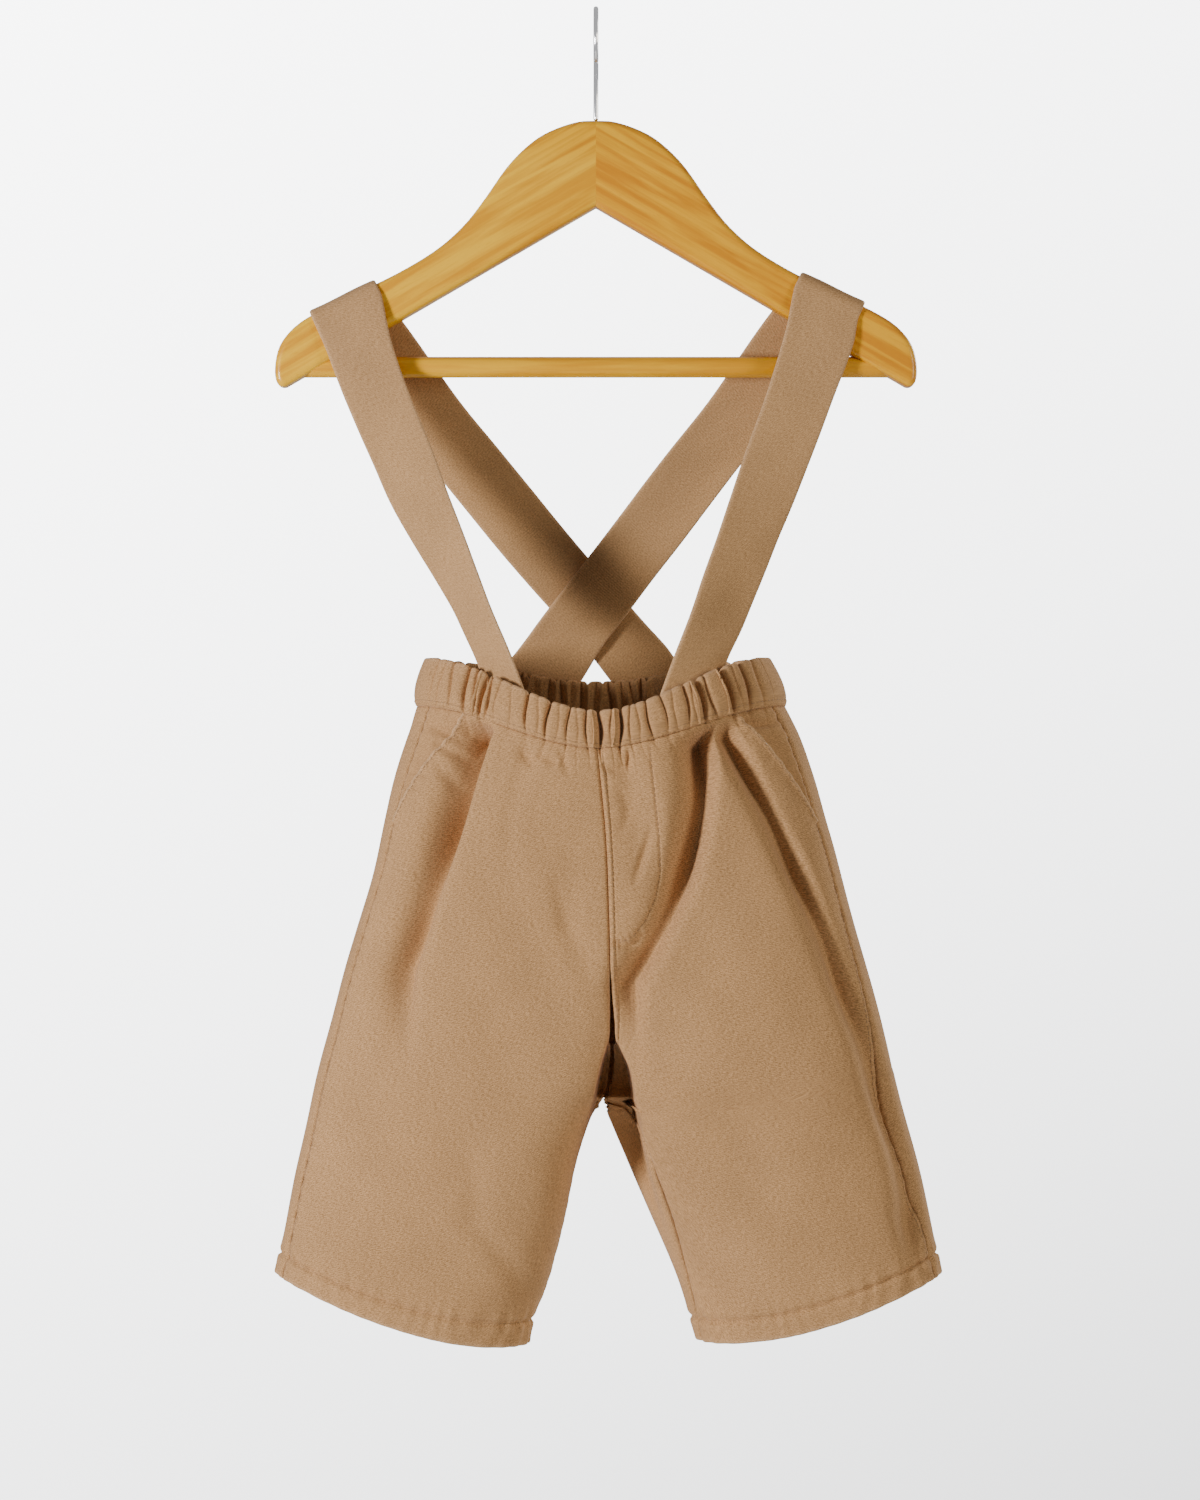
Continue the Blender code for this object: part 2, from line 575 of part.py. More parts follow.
def make_waistband(name, face, gathers, collection, material):
    tables = measured_turns(face)
    left_reach = tables[LEFT][-1][0] - SEAM_GAP / 2
    right_reach = tables[RIGHT][-1][0] - SEAM_GAP / 2

    def place(u, v, w):
        distance = mix(-left_reach, right_reach, u)
        leg = LEFT if distance < 0 else RIGHT
        turn = turn_at(tables[leg], abs(distance))
        height = mix(BAND_SEAM_HEIGHT, 1.0, v)
        near_seam = mix(RELIEF_AT_SEAM, 1.0, smooth_step(height * RELIEF_RISE))
        near_seam *= mix(1.0, RELIEF_AT_TOP, height)
        sunk = sum(g.depth * exp(-(((distance - g.place) / g.width) ** 2)) for g in gathers)
        relief = (GATHER_RELIEF - sunk) * near_seam
        outer = BAND_CLOTH / 2 + relief
        inner = -BAND_CLOTH / 2 + relief * RELIEF_INSIDE
        return band_point(leg, turn, height, mix(inner, outer, w))

    return make_slab(name, BAND_COLUMNS, BAND_ROWS, place, collection, material)


# Straps

STRAP_GAP_INSIDE = 1.6
STRAP_GAP_OUTSIDE = 1.3
BAND_INSIDE = BAND_CLOTH / 2 + STRAP_GAP_INSIDE + STRAP_CLOTH / 2
BAND_OUTSIDE = BAND_CLOTH / 2 + STRAP_GAP_OUTSIDE + STRAP_CLOTH / 2


def band_edge(leg, tuck, height, offset):
    """A strap end's two edge points on the waistband, and how far it bows round with the band."""
    outer_turn = mix(tuck.outer_low, tuck.outer_top, height)
    inner_turn = mix(tuck.inner_low, tuck.inner_top, height)
    outer = band_point(leg, outer_turn, height, offset)
    inner = band_point(leg, inner_turn, height, offset)
    middle_turn = (outer_turn + inner_turn) / 2
    bow = band_point(leg, middle_turn, height, offset) - (outer + inner) / 2
    return Edge(*outer, *inner, bow.dot(outward(leg, middle_turn, 0.0)))


def arm_top_z(out):
    return along(ARM_TOP, "z", out)


def wrap_rows(fold_x):
    """The strap's rows over the arm, from its front to its back."""
    radius = ARM_THICK / 2 + LAYER_GAP + STRAP_CLOTH / 2
    rows = []
    for i in range(STRAP_WRAP_ROWS):
        angle = pi * i / (STRAP_WRAP_ROWS - 1)
        y = -radius * (1 if angle < pi / 2 else -1) * abs(cos(angle)) ** STRAP_WRAP_SQUARENESS
        lift = radius * (sin(angle) ** STRAP_WRAP_SQUARENESS - 1) + STRAP_LIFT
        ends = [(x, y, arm_top_z(abs(x)) + lift) for x in fold_x]
        rows.append(Edge(*ends[0], *ends[1]))
    return rows


def strap_rows(front_leg, front_end, front, fold_x, back, back_leg, back_end):
    rows = [band_edge(front_leg, front_end, height, -BAND_INSIDE) for height in STRAP_TUCK_HEIGHTS]
    rows += front
    rows += wrap_rows(fold_x)
    rows += back
    rows += [band_edge(back_leg, back_end, height, BAND_OUTSIDE) for height in reversed(STRAP_TUCK_HEIGHTS)]
    return rows


def smooth_rows(rows, spacing):
    """The rows with more between them, on smooth curves through each edge."""
    Place = namedtuple("Place", ("length",) + Edge._fields)
    length = 0.0
    places = []
    for i, row in enumerate(rows):
        if i:
            last = rows[i - 1]
            a = Vector(row[:3]) + Vector(row[3:6])
            b = Vector(last[:3]) + Vector(last[3:6])
            length += (a - b).length / 2
        places.append(Place(length, *row))
    fine = []
    for low, high in zip(places, places[1:]):
        steps = max(ceil((high.length - low.length) / spacing), 1)
        for i in range(steps):
            at = mix(low.length, high.length, i / steps)
            fine.append(Edge(*(along(places, field, at) for field in Edge._fields)))
    return fine + [rows[-1]]


STRAP_COLUMNS = 3
STRAP_ROW_SPACING = 9.0


def make_strap(name, rows, curl, collection, material):
    rows = smooth_rows(rows, STRAP_ROW_SPACING)
    last = len(rows) - 1

    def spot(u, i):
        row = rows[min(max(i, 0), last)]
        return Vector(row[:3]).lerp(Vector(row[3:6]), u)

    def place(u, v, w):
        i = round(v * last)
        across = spot(1.0, i) - spot(0.0, i)
        down = spot(u, i + 1) - spot(u, i - 1)
        out = across.cross(down).normalized() * curl
        return spot(u, i) + out * (STRAP_CLOTH * (w - 0.5) + rows[i].bow * 4 * u * (1 - u))

    return make_slab(name, STRAP_COLUMNS, last, place, collection, material)


# Hanger


def arm_outline():
    """One arm's outline in distance from the middle and height: its top edge, then its underside."""
    points = []
    for low, high in zip(ARM_TOP, ARM_TOP[1:]):
        for i in range(2):
            share = i / 2
            if low.out < ARM_TOP[-3].out:
                out = mix(low.out, high.out, share)
                points.append((out, arm_top_z(out)))
            elif i == 0:
                points.append((low.out, low.z))
    points.append((ARM_TOP[-1].out, ARM_TOP[-1].z))
    tip_z = APEX_UNDERSIDE_Z - UNDERSIDE_SLOPE * TIP_UNDERSIDE_OUT
    points.append((TIP_UNDERSIDE_OUT, tip_z))
    points.append((0.0, APEX_UNDERSIDE_Z))
    return points


def make_bore_cutter(cutters):
    bm = bmesh.new()
    bmesh.ops.create_cone(bm, cap_ends=True, segments=24, radius1=BAR_BORE_RADIUS * MM,
                          radius2=BAR_BORE_RADIUS * MM, depth=2 * BAR_BORE_HALF_LENGTH * MM)
    mesh = bpy.data.meshes.new("bar_bore_cutter")
    bm.to_mesh(mesh)
    bm.free()
    cutter = bpy.data.objects.new("bar_bore_cutter", mesh)
    cutter.rotation_euler = (0.0, pi / 2, 0.0)
    cutter.location = (0.0, 0.0, BAR_Z * MM)
    cutter.hide_render = True
    cutter.display_type = "WIRE"
    cutters.objects.link(cutter)
    return cutter


def make_arm(name, sign, cutter, collection, material):
    """A flat wooden arm with rounded edges, square where it meets the other one."""
    bm = bmesh.new()
    outline = [bm.verts.new((sign * max(x, SEAM_GAP / 2) * MM, -ARM_THICK / 2 * MM, z * MM))
               for x, z in arm_outline()]
    face = bm.faces.new(outline)
    raised = bmesh.ops.extrude_face_region(bm, geom=[face])["geom"]
    back = [item for item in raised if isinstance(item, bmesh.types.BMVert)]
    bmesh.ops.translate(bm, verts=back, vec=(0.0, ARM_THICK * MM, 0.0))
    bmesh.ops.recalc_face_normals(bm, faces=bm.faces)
    mesh = bpy.data.meshes.new(name)
    bm.to_mesh(mesh)
    bm.free()
    obj = add_object(name, mesh, collection, material)
    weights = mesh.attributes.new("bevel_weight_edge", "FLOAT", "EDGE")
    for edge in mesh.edges:
        a, b = (mesh.vertices[i].co for i in edge.vertices)
        same_side = abs(a.y - b.y) < 1e-6
        at_joint = max(abs(a.x), abs(b.x)) < 2 * SEAM_GAP * MM
        weights.data[edge.index].value = 1.0 if same_side and not at_joint else 0.0
    bevel = obj.modifiers.new("rounded edges", "BEVEL")
    bevel.width = ARM_ROUNDING * MM
    bevel.segments = 3
    bevel.limit_method = "WEIGHT"
    bore = obj.modifiers.new("bore for the bar", "BOOLEAN")
    bore.operation = "DIFFERENCE"
    bore.object = cutter
    mesh.shade_smooth()
    mesh.set_sharp_from_angle(angle=0.7)
    return obj


def make_bar(name, collection, material):
    bm = bmesh.new()
    bmesh.ops.create_cone(bm, cap_ends=True, segments=20, radius1=BAR_RADIUS * MM,
                          radius2=BAR_RADIUS * MM, depth=2 * BAR_HALF_LENGTH * MM)
    mesh = bpy.data.meshes.new(name)
    bm.to_mesh(mesh)
    bm.free()
    mesh.shade_smooth()
    mesh.set_sharp_from_angle(angle=0.7)
    obj = add_object(name, mesh, collection, material)
    obj.rotation_euler = (0.0, pi / 2, 0.0)
    obj.location = (0.0, 0.0, BAR_Z * MM)
    return obj


# The hook lies in the Y-Z plane: its loop is a circle whose inside top is the origin
HOOK_TIP_ANGLE = -2.55
HOOK_STEM_ANGLE = 0.62
HOOK_STEM_BEND_Z = -34.0
HOOK_STEPS = 26
HOOK_BEND_STEPS = 5


def hook_path():
    reach = HOOK_RADIUS + WIRE_RADIUS
    centre_z = -HOOK_RADIUS
    points = []
    for i in range(HOOK_STEPS + 1):
        angle = mix(HOOK_TIP_ANGLE, HOOK_STEM_ANGLE + pi / 2, i / HOOK_STEPS)
        points.append((0.0, reach * sin(angle), centre_z + reach * cos(angle)))
    leave_y, leave_z = points[-1][1:]
    for i in range(1, HOOK_BEND_STEPS):
        share = i / HOOK_BEND_STEPS
        y = leave_y * (1 - smooth_step(share))
        points.append((0.0, y, mix(leave_z, HOOK_STEM_BEND_Z, share)))
    points.append((0.0, 0.0, HOOK_STEM_BEND_Z - 2.0))
    points.append((0.0, 0.0, STEM_FOOT_Z))
    return points


def make_hook(name, collection, material):
    data = bpy.data.curves.new(name, "CURVE")
    data.dimensions = "3D"
    data.bevel_depth = WIRE_RADIUS * MM
    data.bevel_resolution = 2
    data.use_fill_caps = True
    points = hook_path()
    spline = data.splines.new("POLY")
    spline.points.add(len(points) - 1)
    for target, point in zip(spline.points, points):
        target.co = (*(Vector(point) * MM), 1.0)
    return add_object(name, data, collection, material)


def build():
    clear_scene()
    shorts = bpy.data.collections.new("shorts_on_hanger")
    cutters = bpy.data.collections.new("cutters")
    for collection in (shorts, cutters):
        bpy.context.scene.collection.children.link(collection)

    for side, leg in (("left", LEFT), ("right", RIGHT)):
        make_front_panel(f"front_panel_{side}", leg, shorts, make_twill(f"front twill {side}"))
        make_back_panel(f"back_panel_{side}", leg, shorts, make_twill(f"back twill {side}"))
        make_pocket_facing(f"pocket_facing_{side}", leg, shorts, make_twill(f"facing twill {side}"))
    make_fly_facing("fly_facing", RIGHT, shorts, make_twill("fly twill"))
    make_waistband("waistband_front", "front", FRONT_GATHERS, shorts, make_twill("front band twill"))
    make_waistband("waistband_back", "back", back_gathers(), shorts, make_twill("back band twill"))

    left_rows = strap_rows(LEFT, LEFT_FRONT_END, LEFT_STRAP_FRONT, LEFT_STRAP_FOLD_X,
                           LEFT_STRAP_BACK, RIGHT, LEFT_BACK_END)
    right_rows = strap_rows(RIGHT, RIGHT_FRONT_END, RIGHT_STRAP_FRONT, RIGHT_STRAP_FOLD_X,
                            RIGHT_STRAP_BACK, LEFT, RIGHT_BACK_END)
    make_strap("strap_left", left_rows, 1, shorts, make_twill("strap twill left"))
    make_strap("strap_right", right_rows, -1, shorts, make_twill("strap twill right"))

    cutter = make_bore_cutter(cutters)
    make_arm("hanger_arm_left", -1, cutter, shorts, make_material("lacquered beech left", HONEY, 0.3))
    make_arm("hanger_arm_right", 1, cutter, shorts, make_material("lacquered beech right", HONEY, 0.3))
    make_bar("hanger_bar", shorts, make_material("lacquered dowel", HONEY, 0.3))
    make_hook("hanger_hook", shorts, make_material("chromed wire", CHROME, 0.15, 1.0))


build()
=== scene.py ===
# %% [markdown]
# # Bermuda shorts hung on a small wooden hanger
#
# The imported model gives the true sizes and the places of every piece: four leg panels, a gathered
# waistband, two pocket facings, a fly facing, two straps, and a hanger of wood and wire. Its solids
# are plain walls. This script keeps their form and puts cloth, thread, wood and chrome in their
# place.

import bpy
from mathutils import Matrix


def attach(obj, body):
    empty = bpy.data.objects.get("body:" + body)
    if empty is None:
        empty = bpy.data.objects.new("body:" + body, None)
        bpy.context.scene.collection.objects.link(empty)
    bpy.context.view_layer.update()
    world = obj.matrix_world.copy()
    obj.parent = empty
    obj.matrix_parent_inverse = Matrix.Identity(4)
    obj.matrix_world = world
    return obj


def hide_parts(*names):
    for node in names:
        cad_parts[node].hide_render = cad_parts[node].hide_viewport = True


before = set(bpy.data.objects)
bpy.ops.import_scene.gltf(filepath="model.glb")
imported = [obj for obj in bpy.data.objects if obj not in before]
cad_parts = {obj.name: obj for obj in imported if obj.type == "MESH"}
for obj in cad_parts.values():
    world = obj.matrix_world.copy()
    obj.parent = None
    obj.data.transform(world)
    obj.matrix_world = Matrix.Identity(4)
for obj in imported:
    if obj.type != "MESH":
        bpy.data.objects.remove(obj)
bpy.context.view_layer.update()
print("nodes:", len(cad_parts))

# %% [markdown]
# ## Units and small helpers
#
# Cloth is easiest to think about in millimetres, so every size below is in millimetres until a mesh
# is filled. The surfaces have many thousands of points. Writing a loop for each point is slow in
# Python, so points are held in numpy arrays with one row of the array for each row of the cloth.

# %% Helpers
from collections import namedtuple
from math import ceil, pi, radians

import bmesh
import bpy
import numpy as np
from mathutils import Matrix, Vector

MM = 0.001


def mix(a, b, share):
    return a + (b - a) * share


def smooth_step(share):
    share = np.clip(share, 0.0, 1.0)
    return share * share * (3.0 - 2.0 * share)


def bump(distance, width):
    """1 on a line and fading out to both sides of it."""
    return np.exp(-((distance / width) ** 2))


def unit(vectors):
    return vectors / np.linalg.norm(vectors, axis=-1, keepdims=True)


def lengths_along(points):
    """How far each point of a line is from its first point, measured along the line."""
    steps = np.linalg.norm(np.diff(points, axis=0), axis=-1)
    return np.concatenate([[0.0], np.cumsum(steps)])


def places_at(at, lengths, points):
    """Where a line is at some lengths along it."""
    return np.stack([np.interp(at, lengths, column) for column in points.T], axis=-1)


def along(rows, field, place):
    """The column named field at a place on the first column, on a smooth curve through the rows."""
    xs = np.array([row[0] for row in rows], float)
    ys = np.array([getattr(row, field) for row in rows], float)
    place = np.clip(place, xs[0], xs[-1])
    i = np.clip(np.searchsorted(xs, place, side="right") - 1, 0, len(xs) - 2)
    index = np.arange(len(xs))
    low = np.maximum(index - 1, 0)
    high = np.minimum(index + 1, len(xs) - 1)
    slope = (ys[high] - ys[low]) / (xs[high] - xs[low])
    span = xs[i + 1] - xs[i]
    t = (place - xs[i]) / span
    start = (1 + 2 * t) * (1 - t) ** 2 * ys[i] + t * (1 - t) ** 2 * span * slope[i]
    end = t * t * (3 - 2 * t) * ys[i + 1] + t * t * (t - 1) * span * slope[i + 1]
    return start + end


# %% [markdown]
# ## The form of the legs
#
# A hanging pair of shorts is two tubes that join at the crotch. Each tube is given by short tables:
# how wide it is at the side, where its middle seams run, and how full it is at the front and back.
# A "fall" runs down a leg, from 0 at the waistband's seam to 1 at the hem. A "turn" runs round it:
# -2 at the back seam, -1 at the back's fullest line, 0 at the side, 1 at the front's fullest line
# and 2 at the front seam. Cloth simulation could make such a form too, but it wouldn't stop at the
# photographed outline, so the rest shape comes from the tables and the softness from the folds.

# %% The tables of the legs
SIDE_SEAM_TURN = 0.25
CROTCH_FALL = 0.64
SECTION_SQUARENESS = 1.22
SHARED_NORMAL_TURN = 1.6
SWEEP_ROUNDING = 1.6
FLAT_SQUARENESS = 0.86
FLATTER_FALL = 0.35
NORMAL_STEP = 0.012
CORNER_POWER = 3.6
CORNER_SHARE = 0.8
CORNER_START = 0.53
CORNER_GROWTH = 0.06
CORNER_END = 0.75
CORNER_FADE = 0.2
SIDE_TOP_Z = -325.5
SIDE_HEM_Z = -590.5

Side = namedtuple("Side", "fall x")
LEFT_SIDE = (
    Side(0.0, -83.9), Side(0.065, -90.0), Side(0.137, -95.6), Side(0.2, -99.3), Side(0.3, -104.2),
    Side(0.4, -112.6), Side(0.6, -127.3), Side(0.8, -138.9), Side(1.0, -150.5),
)
RIGHT_SIDE = (
    Side(0.0, 88.6), Side(0.05, 95.4), Side(0.122, 101.7), Side(0.194, 106.9), Side(0.266, 112.6),
    Side(0.41, 122.8), Side(0.554, 133.4), Side(0.698, 142.9), Side(0.84, 153.2), Side(1.0, 162.7),
)

Seam = namedtuple("Seam", "fall x y z")
FRONT_RISE = (
    Seam(0.0, 0.7, -44.0, -345.0), Seam(0.16, 4.6, -45.5, -385.0), Seam(0.32, 6.2, -44.5, -425.0),
    Seam(0.44, 6.8, -42.0, -455.0), Seam(0.52, 7.6, -36.0, -476.0), Seam(0.57, 7.4, -25.0, -493.0),
    Seam(0.61, 5.6, -12.0, -505.5), Seam(0.64, 3.0, 2.0, -511.0),
)
BACK_RISE = (
    Seam(0.0, 0.5, 45.0, -333.5), Seam(0.2, 1.6, 48.0, -380.0), Seam(0.35, 2.2, 46.5, -420.0),
    Seam(0.47, 2.8, 42.0, -455.0), Seam(0.55, 3.0, 34.0, -484.0), Seam(0.6, 2.6, 22.0, -504.0),
    Seam(0.64, 3.0, 2.0, -511.0),
)
LEFT_INNER = (
    Seam(0.64, 3.0, 2.0, -511.0), Seam(0.66, -2.3, 3.0, -519.0), Seam(0.72, -8.6, 4.0, -538.0),
    Seam(0.8, -14.3, 4.0, -563.0), Seam(0.9, -21.6, 3.0, -594.0), Seam(0.96, -28.2, 2.0, -612.5),
    Seam(1.0, -31.0, 1.0, -624.5),
)
RIGHT_INNER = (
    Seam(0.64, 3.0, 2.0, -511.0), Seam(0.66, 5.6, 8.0, -519.0), Seam(0.72, 13.6, 14.0, -537.5),
    Seam(0.8, 24.6, 14.0, -562.0), Seam(0.9, 37.4, 9.0, -592.5), Seam(0.96, 43.8, 5.0, -611.0),
    Seam(1.0, 47.5, 3.0, -622.5),
)

Fullness = namedtuple("Fullness", "fall front back peak tuck")
LEFT_FULLNESS = (
    Fullness(0.0, 44.0, 44.0, 0.76, 0.0), Fullness(0.2, 46.0, 47.0, 0.62, 0.0),
    Fullness(0.4, 45.0, 46.0, 0.54, 0.15), Fullness(0.52, 42.0, 43.0, 0.52, 0.7),
    Fullness(0.64, 38.0, 40.0, 0.5, 0.8), Fullness(0.7, 36.0, 38.0, 0.5, 1.0),
    Fullness(0.85, 31.0, 33.0, 0.5, 1.0), Fullness(1.0, 27.0, 28.0, 0.5, 1.0),
)
RIGHT_FULLNESS = (
    Fullness(0.0, 44.0, 44.0, 0.76, 0.0), Fullness(0.2, 45.0, 47.0, 0.66, 0.0),
    Fullness(0.4, 45.0, 46.0, 0.6, 0.15), Fullness(0.52, 43.0, 43.0, 0.58, 0.7),
    Fullness(0.64, 40.0, 40.0, 0.55, 0.8), Fullness(0.7, 38.0, 38.0, 0.53, 1.0),
    Fullness(0.85, 33.0, 33.0, 0.5, 1.0), Fullness(1.0, 28.0, 29.0, 0.5, 1.0),
)

SeamTurn = namedtuple("SeamTurn", "fall turn")
LEFT_SEAM_TURN = (SeamTurn(0.0, 2.0), SeamTurn(1.0, 2.0))
RIGHT_SEAM_TURN = (
    SeamTurn(0.64, 2.0), SeamTurn(0.651, 1.63), SeamTurn(0.657, 1.6), SeamTurn(0.68, 1.585),
    SeamTurn(0.73, 1.6), SeamTurn(0.8, 1.64), SeamTurn(0.9, 1.74), SeamTurn(1.0, 1.82),
)

Leg = namedtuple("Leg", "sign side fullness inner seam_turn band_x")
LEFT = Leg(-1, LEFT_SIDE, LEFT_FULLNESS, LEFT_INNER, LEFT_SEAM_TURN, -78.2)
RIGHT = Leg(1, RIGHT_SIDE, RIGHT_FULLNESS, RIGHT_INNER, RIGHT_SEAM_TURN, 79.6)
print("two legs, each", SIDE_TOP_Z - SIDE_HEM_Z, "mm down the side seam")

# %% [markdown]
# A section runs from the side to its fullest line on a flattened curve, and from there in to the
# middle seam. Near the crotch the front's corner is squarer, as where cloth hangs straight down
# beside a gap. Each row sweeps down from the side seam to the middle seam, which is lower.

# %% The smooth surface of a leg
def middle(leg, front, fall):
    """The points of the middle seam, or of a leg's innermost line, that the sections run in to."""
    columns = []
    for field in ("x", "y", "z"):
        rise = np.where(front, along(FRONT_RISE, field, fall), along(BACK_RISE, field, fall))
        columns.append(np.where(fall > CROTCH_FALL, along(leg.inner, field, fall), rise))
    return columns


def smooth_points(leg, turn, fall):
    """The points of a leg without folds, in an array with x, y and z last."""
    turn, fall = np.broadcast_arrays(np.asarray(turn, float), np.asarray(fall, float))
    front = turn >= 0
    side_x = along(leg.side, "x", fall)
    side_z = mix(SIDE_TOP_Z, SIDE_HEM_Z, fall)
    inner_x, inner_y, inner_z = middle(leg, front, fall)
    fullness = leg.fullness
    depth = np.where(front, -along(fullness, "front", fall), along(fullness, "back", fall))
    peak_x = mix(side_x, inner_x, along(fullness, "peak", fall))
    across = np.minimum(abs(turn), 1.0) * pi / 2
    inward = np.clip(abs(turn) - 1.0, 0.0, 1.0) * pi / 2
    tuck = along(fullness, "tuck", fall)
    flatter = front * smooth_step(fall / FLATTER_FALL)
    bend = mix(SECTION_SQUARENESS, FLAT_SQUARENESS, flatter)
    outer_x = mix(side_x, peak_x, 1 - np.cos(across) ** bend)
    outer_y = depth * np.sin(across) ** bend
    rolled_x = mix(peak_x, inner_x, mix(inward * 2 / pi, np.sin(inward), tuck))
    rolled_y = mix(depth, inner_y, 1 - np.cos(inward))
    inshare = np.clip((rolled_x - peak_x) / (inner_x - peak_x), 0.0, 1.0)
    squared = (1 - inshare ** CORNER_POWER) ** (1 / CORNER_POWER)
    grown = smooth_step((fall - CORNER_START) / CORNER_GROWTH)
    faded = smooth_step((fall - CORNER_END) / CORNER_FADE)
    corner = front * grown * (1 - faded)
    rolled_y = mix(rolled_y, mix(inner_y, depth, squared), CORNER_SHARE * corner)
    x = np.where(abs(turn) <= 1.0, outer_x, rolled_x)
    y = np.where(abs(turn) <= 1.0, outer_y, rolled_y)
    share = np.clip((x - side_x) / (inner_x - side_x), 0.0, 1.0)
    rounding = np.clip(fall * SWEEP_ROUNDING, 0.0, 1.0)
    sweep = mix(smooth_step(share), np.sin(share * pi / 2), rounding)
    return np.stack([x, y, mix(side_z, inner_z, sweep)], axis=-1)


def section_normals(leg, turn, fall):
    step = NORMAL_STEP
    ahead = smooth_points(leg, np.minimum(turn + step, 2.0), fall)
    behind = smooth_points(leg, np.maximum(turn - step, -2.0), fall)
    below = smooth_points(leg, turn, np.minimum(fall + step, 1.0))
    above = smooth_points(leg, turn, np.maximum(fall - step, 0.0))
    return unit(np.cross(ahead - behind, below - above) * leg.sign)


def outward(leg, turn, fall):
    """The way out of the cloth. Front and back share it along the inner seam."""
    turn, fall = np.broadcast_arrays(np.asarray(turn, float), np.asarray(fall, float))
    normal = section_normals(leg, turn, fall)
    ends = section_normals(leg, 0 * turn + 2.0, fall) + section_normals(leg, 0 * turn - 2.0, fall)
    share = smooth_step((abs(turn) - SHARED_NORMAL_TURN) / (2.0 - SHARED_NORMAL_TURN))
    share = share * (fall >= CROTCH_FALL)
    return unit(mix(normal, unit(ends), share[..., None]))


# %% [markdown]
# ## Folds
#
# Soft troughs are pushed into the surface. Each has a start, a point that it passes and an end, as
# seen from the front, with a width and a depth of its own, so no two look alike. A lean makes the
# right wall steeper than the left one and moves its lip over the trough, as hanging cloth tips over
# its own fold. The large folds are those of the solids. The small ones are added here, on the back
# as well.

# %% Folds
Fold = namedtuple("Fold", "face top_x top_z mid_x mid_z low_x low_z width depth lean", defaults=(0.0,))
FOLDS = (
    Fold("front", -48.5, -331.0, -64.5, -378.0, -88.0, -448.0, 7.4, 22.0, 0.65),
    Fold("front", 53.5, -330.0, 47.0, -391.0, 17.0, -453.0, 7.2, 19.0, 0.7),
    Fold("front", 60.5, -331.0, 92.5, -396.0, 148.5, -554.0, 5.2, 11.5, 0.5),
    Fold("front", -30.0, -342.0, -34.0, -356.0, -40.0, -374.0, 4.5, 1.6),
    Fold("front", 12.0, -346.0, 15.0, -360.0, 19.0, -380.0, 4.5, 1.6),
    Fold("front", -12.0, -428.0, -5.0, -446.0, 3.0, -470.0, 6.0, 1.4),
    Fold("front", -56.0, -566.0, -40.0, -584.0, -30.0, -606.0, 7.0, 1.6),
    Fold("front", 142.0, -560.0, 149.0, -575.0, 158.0, -590.0, 6.0, 1.6),
    Fold("back", -52.0, -330.0, -60.0, -390.0, -82.0, -470.0, 9.0, 3.0),
    Fold("back", 24.0, -332.0, 30.0, -380.0, 46.0, -450.0, 8.0, 2.6),
    Fold("back", 60.0, -330.0, 76.0, -400.0, 112.0, -500.0, 9.0, 3.0),
    Fold("back", -22.0, -440.0, -46.0, -480.0, -84.0, -520.0, 9.0, 2.4),
    Fold("back", 26.0, -446.0, 52.0, -486.0, 92.0, -526.0, 9.0, 2.4),
)
FOLD_FADE = 26.0
FOLD_LOW_SHARE = 0.5
FOLD_START_FALL = 0.035
TIP = 2.6
TIP_REACH = 7.0
LIP_WIDTH = 2.4
LEAN_WIDTH = 1.5
FOLD_UNEVENNESS = 0.15
FOLD_WAVE = 8.7


def fold_push(points, front):
    """How far the folds push points of the smooth garment in, and how far they tip them aside."""
    x, z = points[..., 0], points[..., 2]
    pushed = np.zeros(x.shape)
    aside = np.zeros(x.shape)
    for fold in FOLDS:
        height = fold.top_z - fold.low_z
        down = (fold.top_z - z) / height
        mid = (fold.top_z - fold.mid_z) / height
        reach = np.clip(down, 0.0, 1.0)
        bow = (fold.mid_x - mix(fold.top_x, fold.low_x, mid)) / (mid * (1 - mid))
        line_x = mix(fold.top_x, fold.low_x, reach) + bow * reach * (1 - reach)
        fade_length = min(FOLD_FADE, height)
        fade = bump((down - reach) * height, fade_length) * mix(1.0, FOLD_LOW_SHARE, reach)
        off = x - line_x
        lean = fold.lean * (1.0 - 0.5 * reach)
        width = fold.width * (1.0 - lean * np.tanh(off / LEAN_WIDTH))
        uneven = 1.0 + FOLD_UNEVENNESS * np.sin(z / FOLD_WAVE + fold.top_x)
        on_face = front if fold.face == "front" else ~front
        pushed += on_face * fold.depth * fade * uneven * bump(off, width)
        lip = smooth_step(off / LIP_WIDTH) * bump(np.maximum(off - LIP_WIDTH, 0.0), TIP_REACH)
        aside += on_face * lean * fade * TIP * lip
    return pushed, aside


print(len(FOLDS), "folds")

# %% [markdown]
# Small creases bend. Each is a smooth line through three places with a width and a depth, and it
# dies out at both ends. One has a negative depth, which makes it a low ridge.

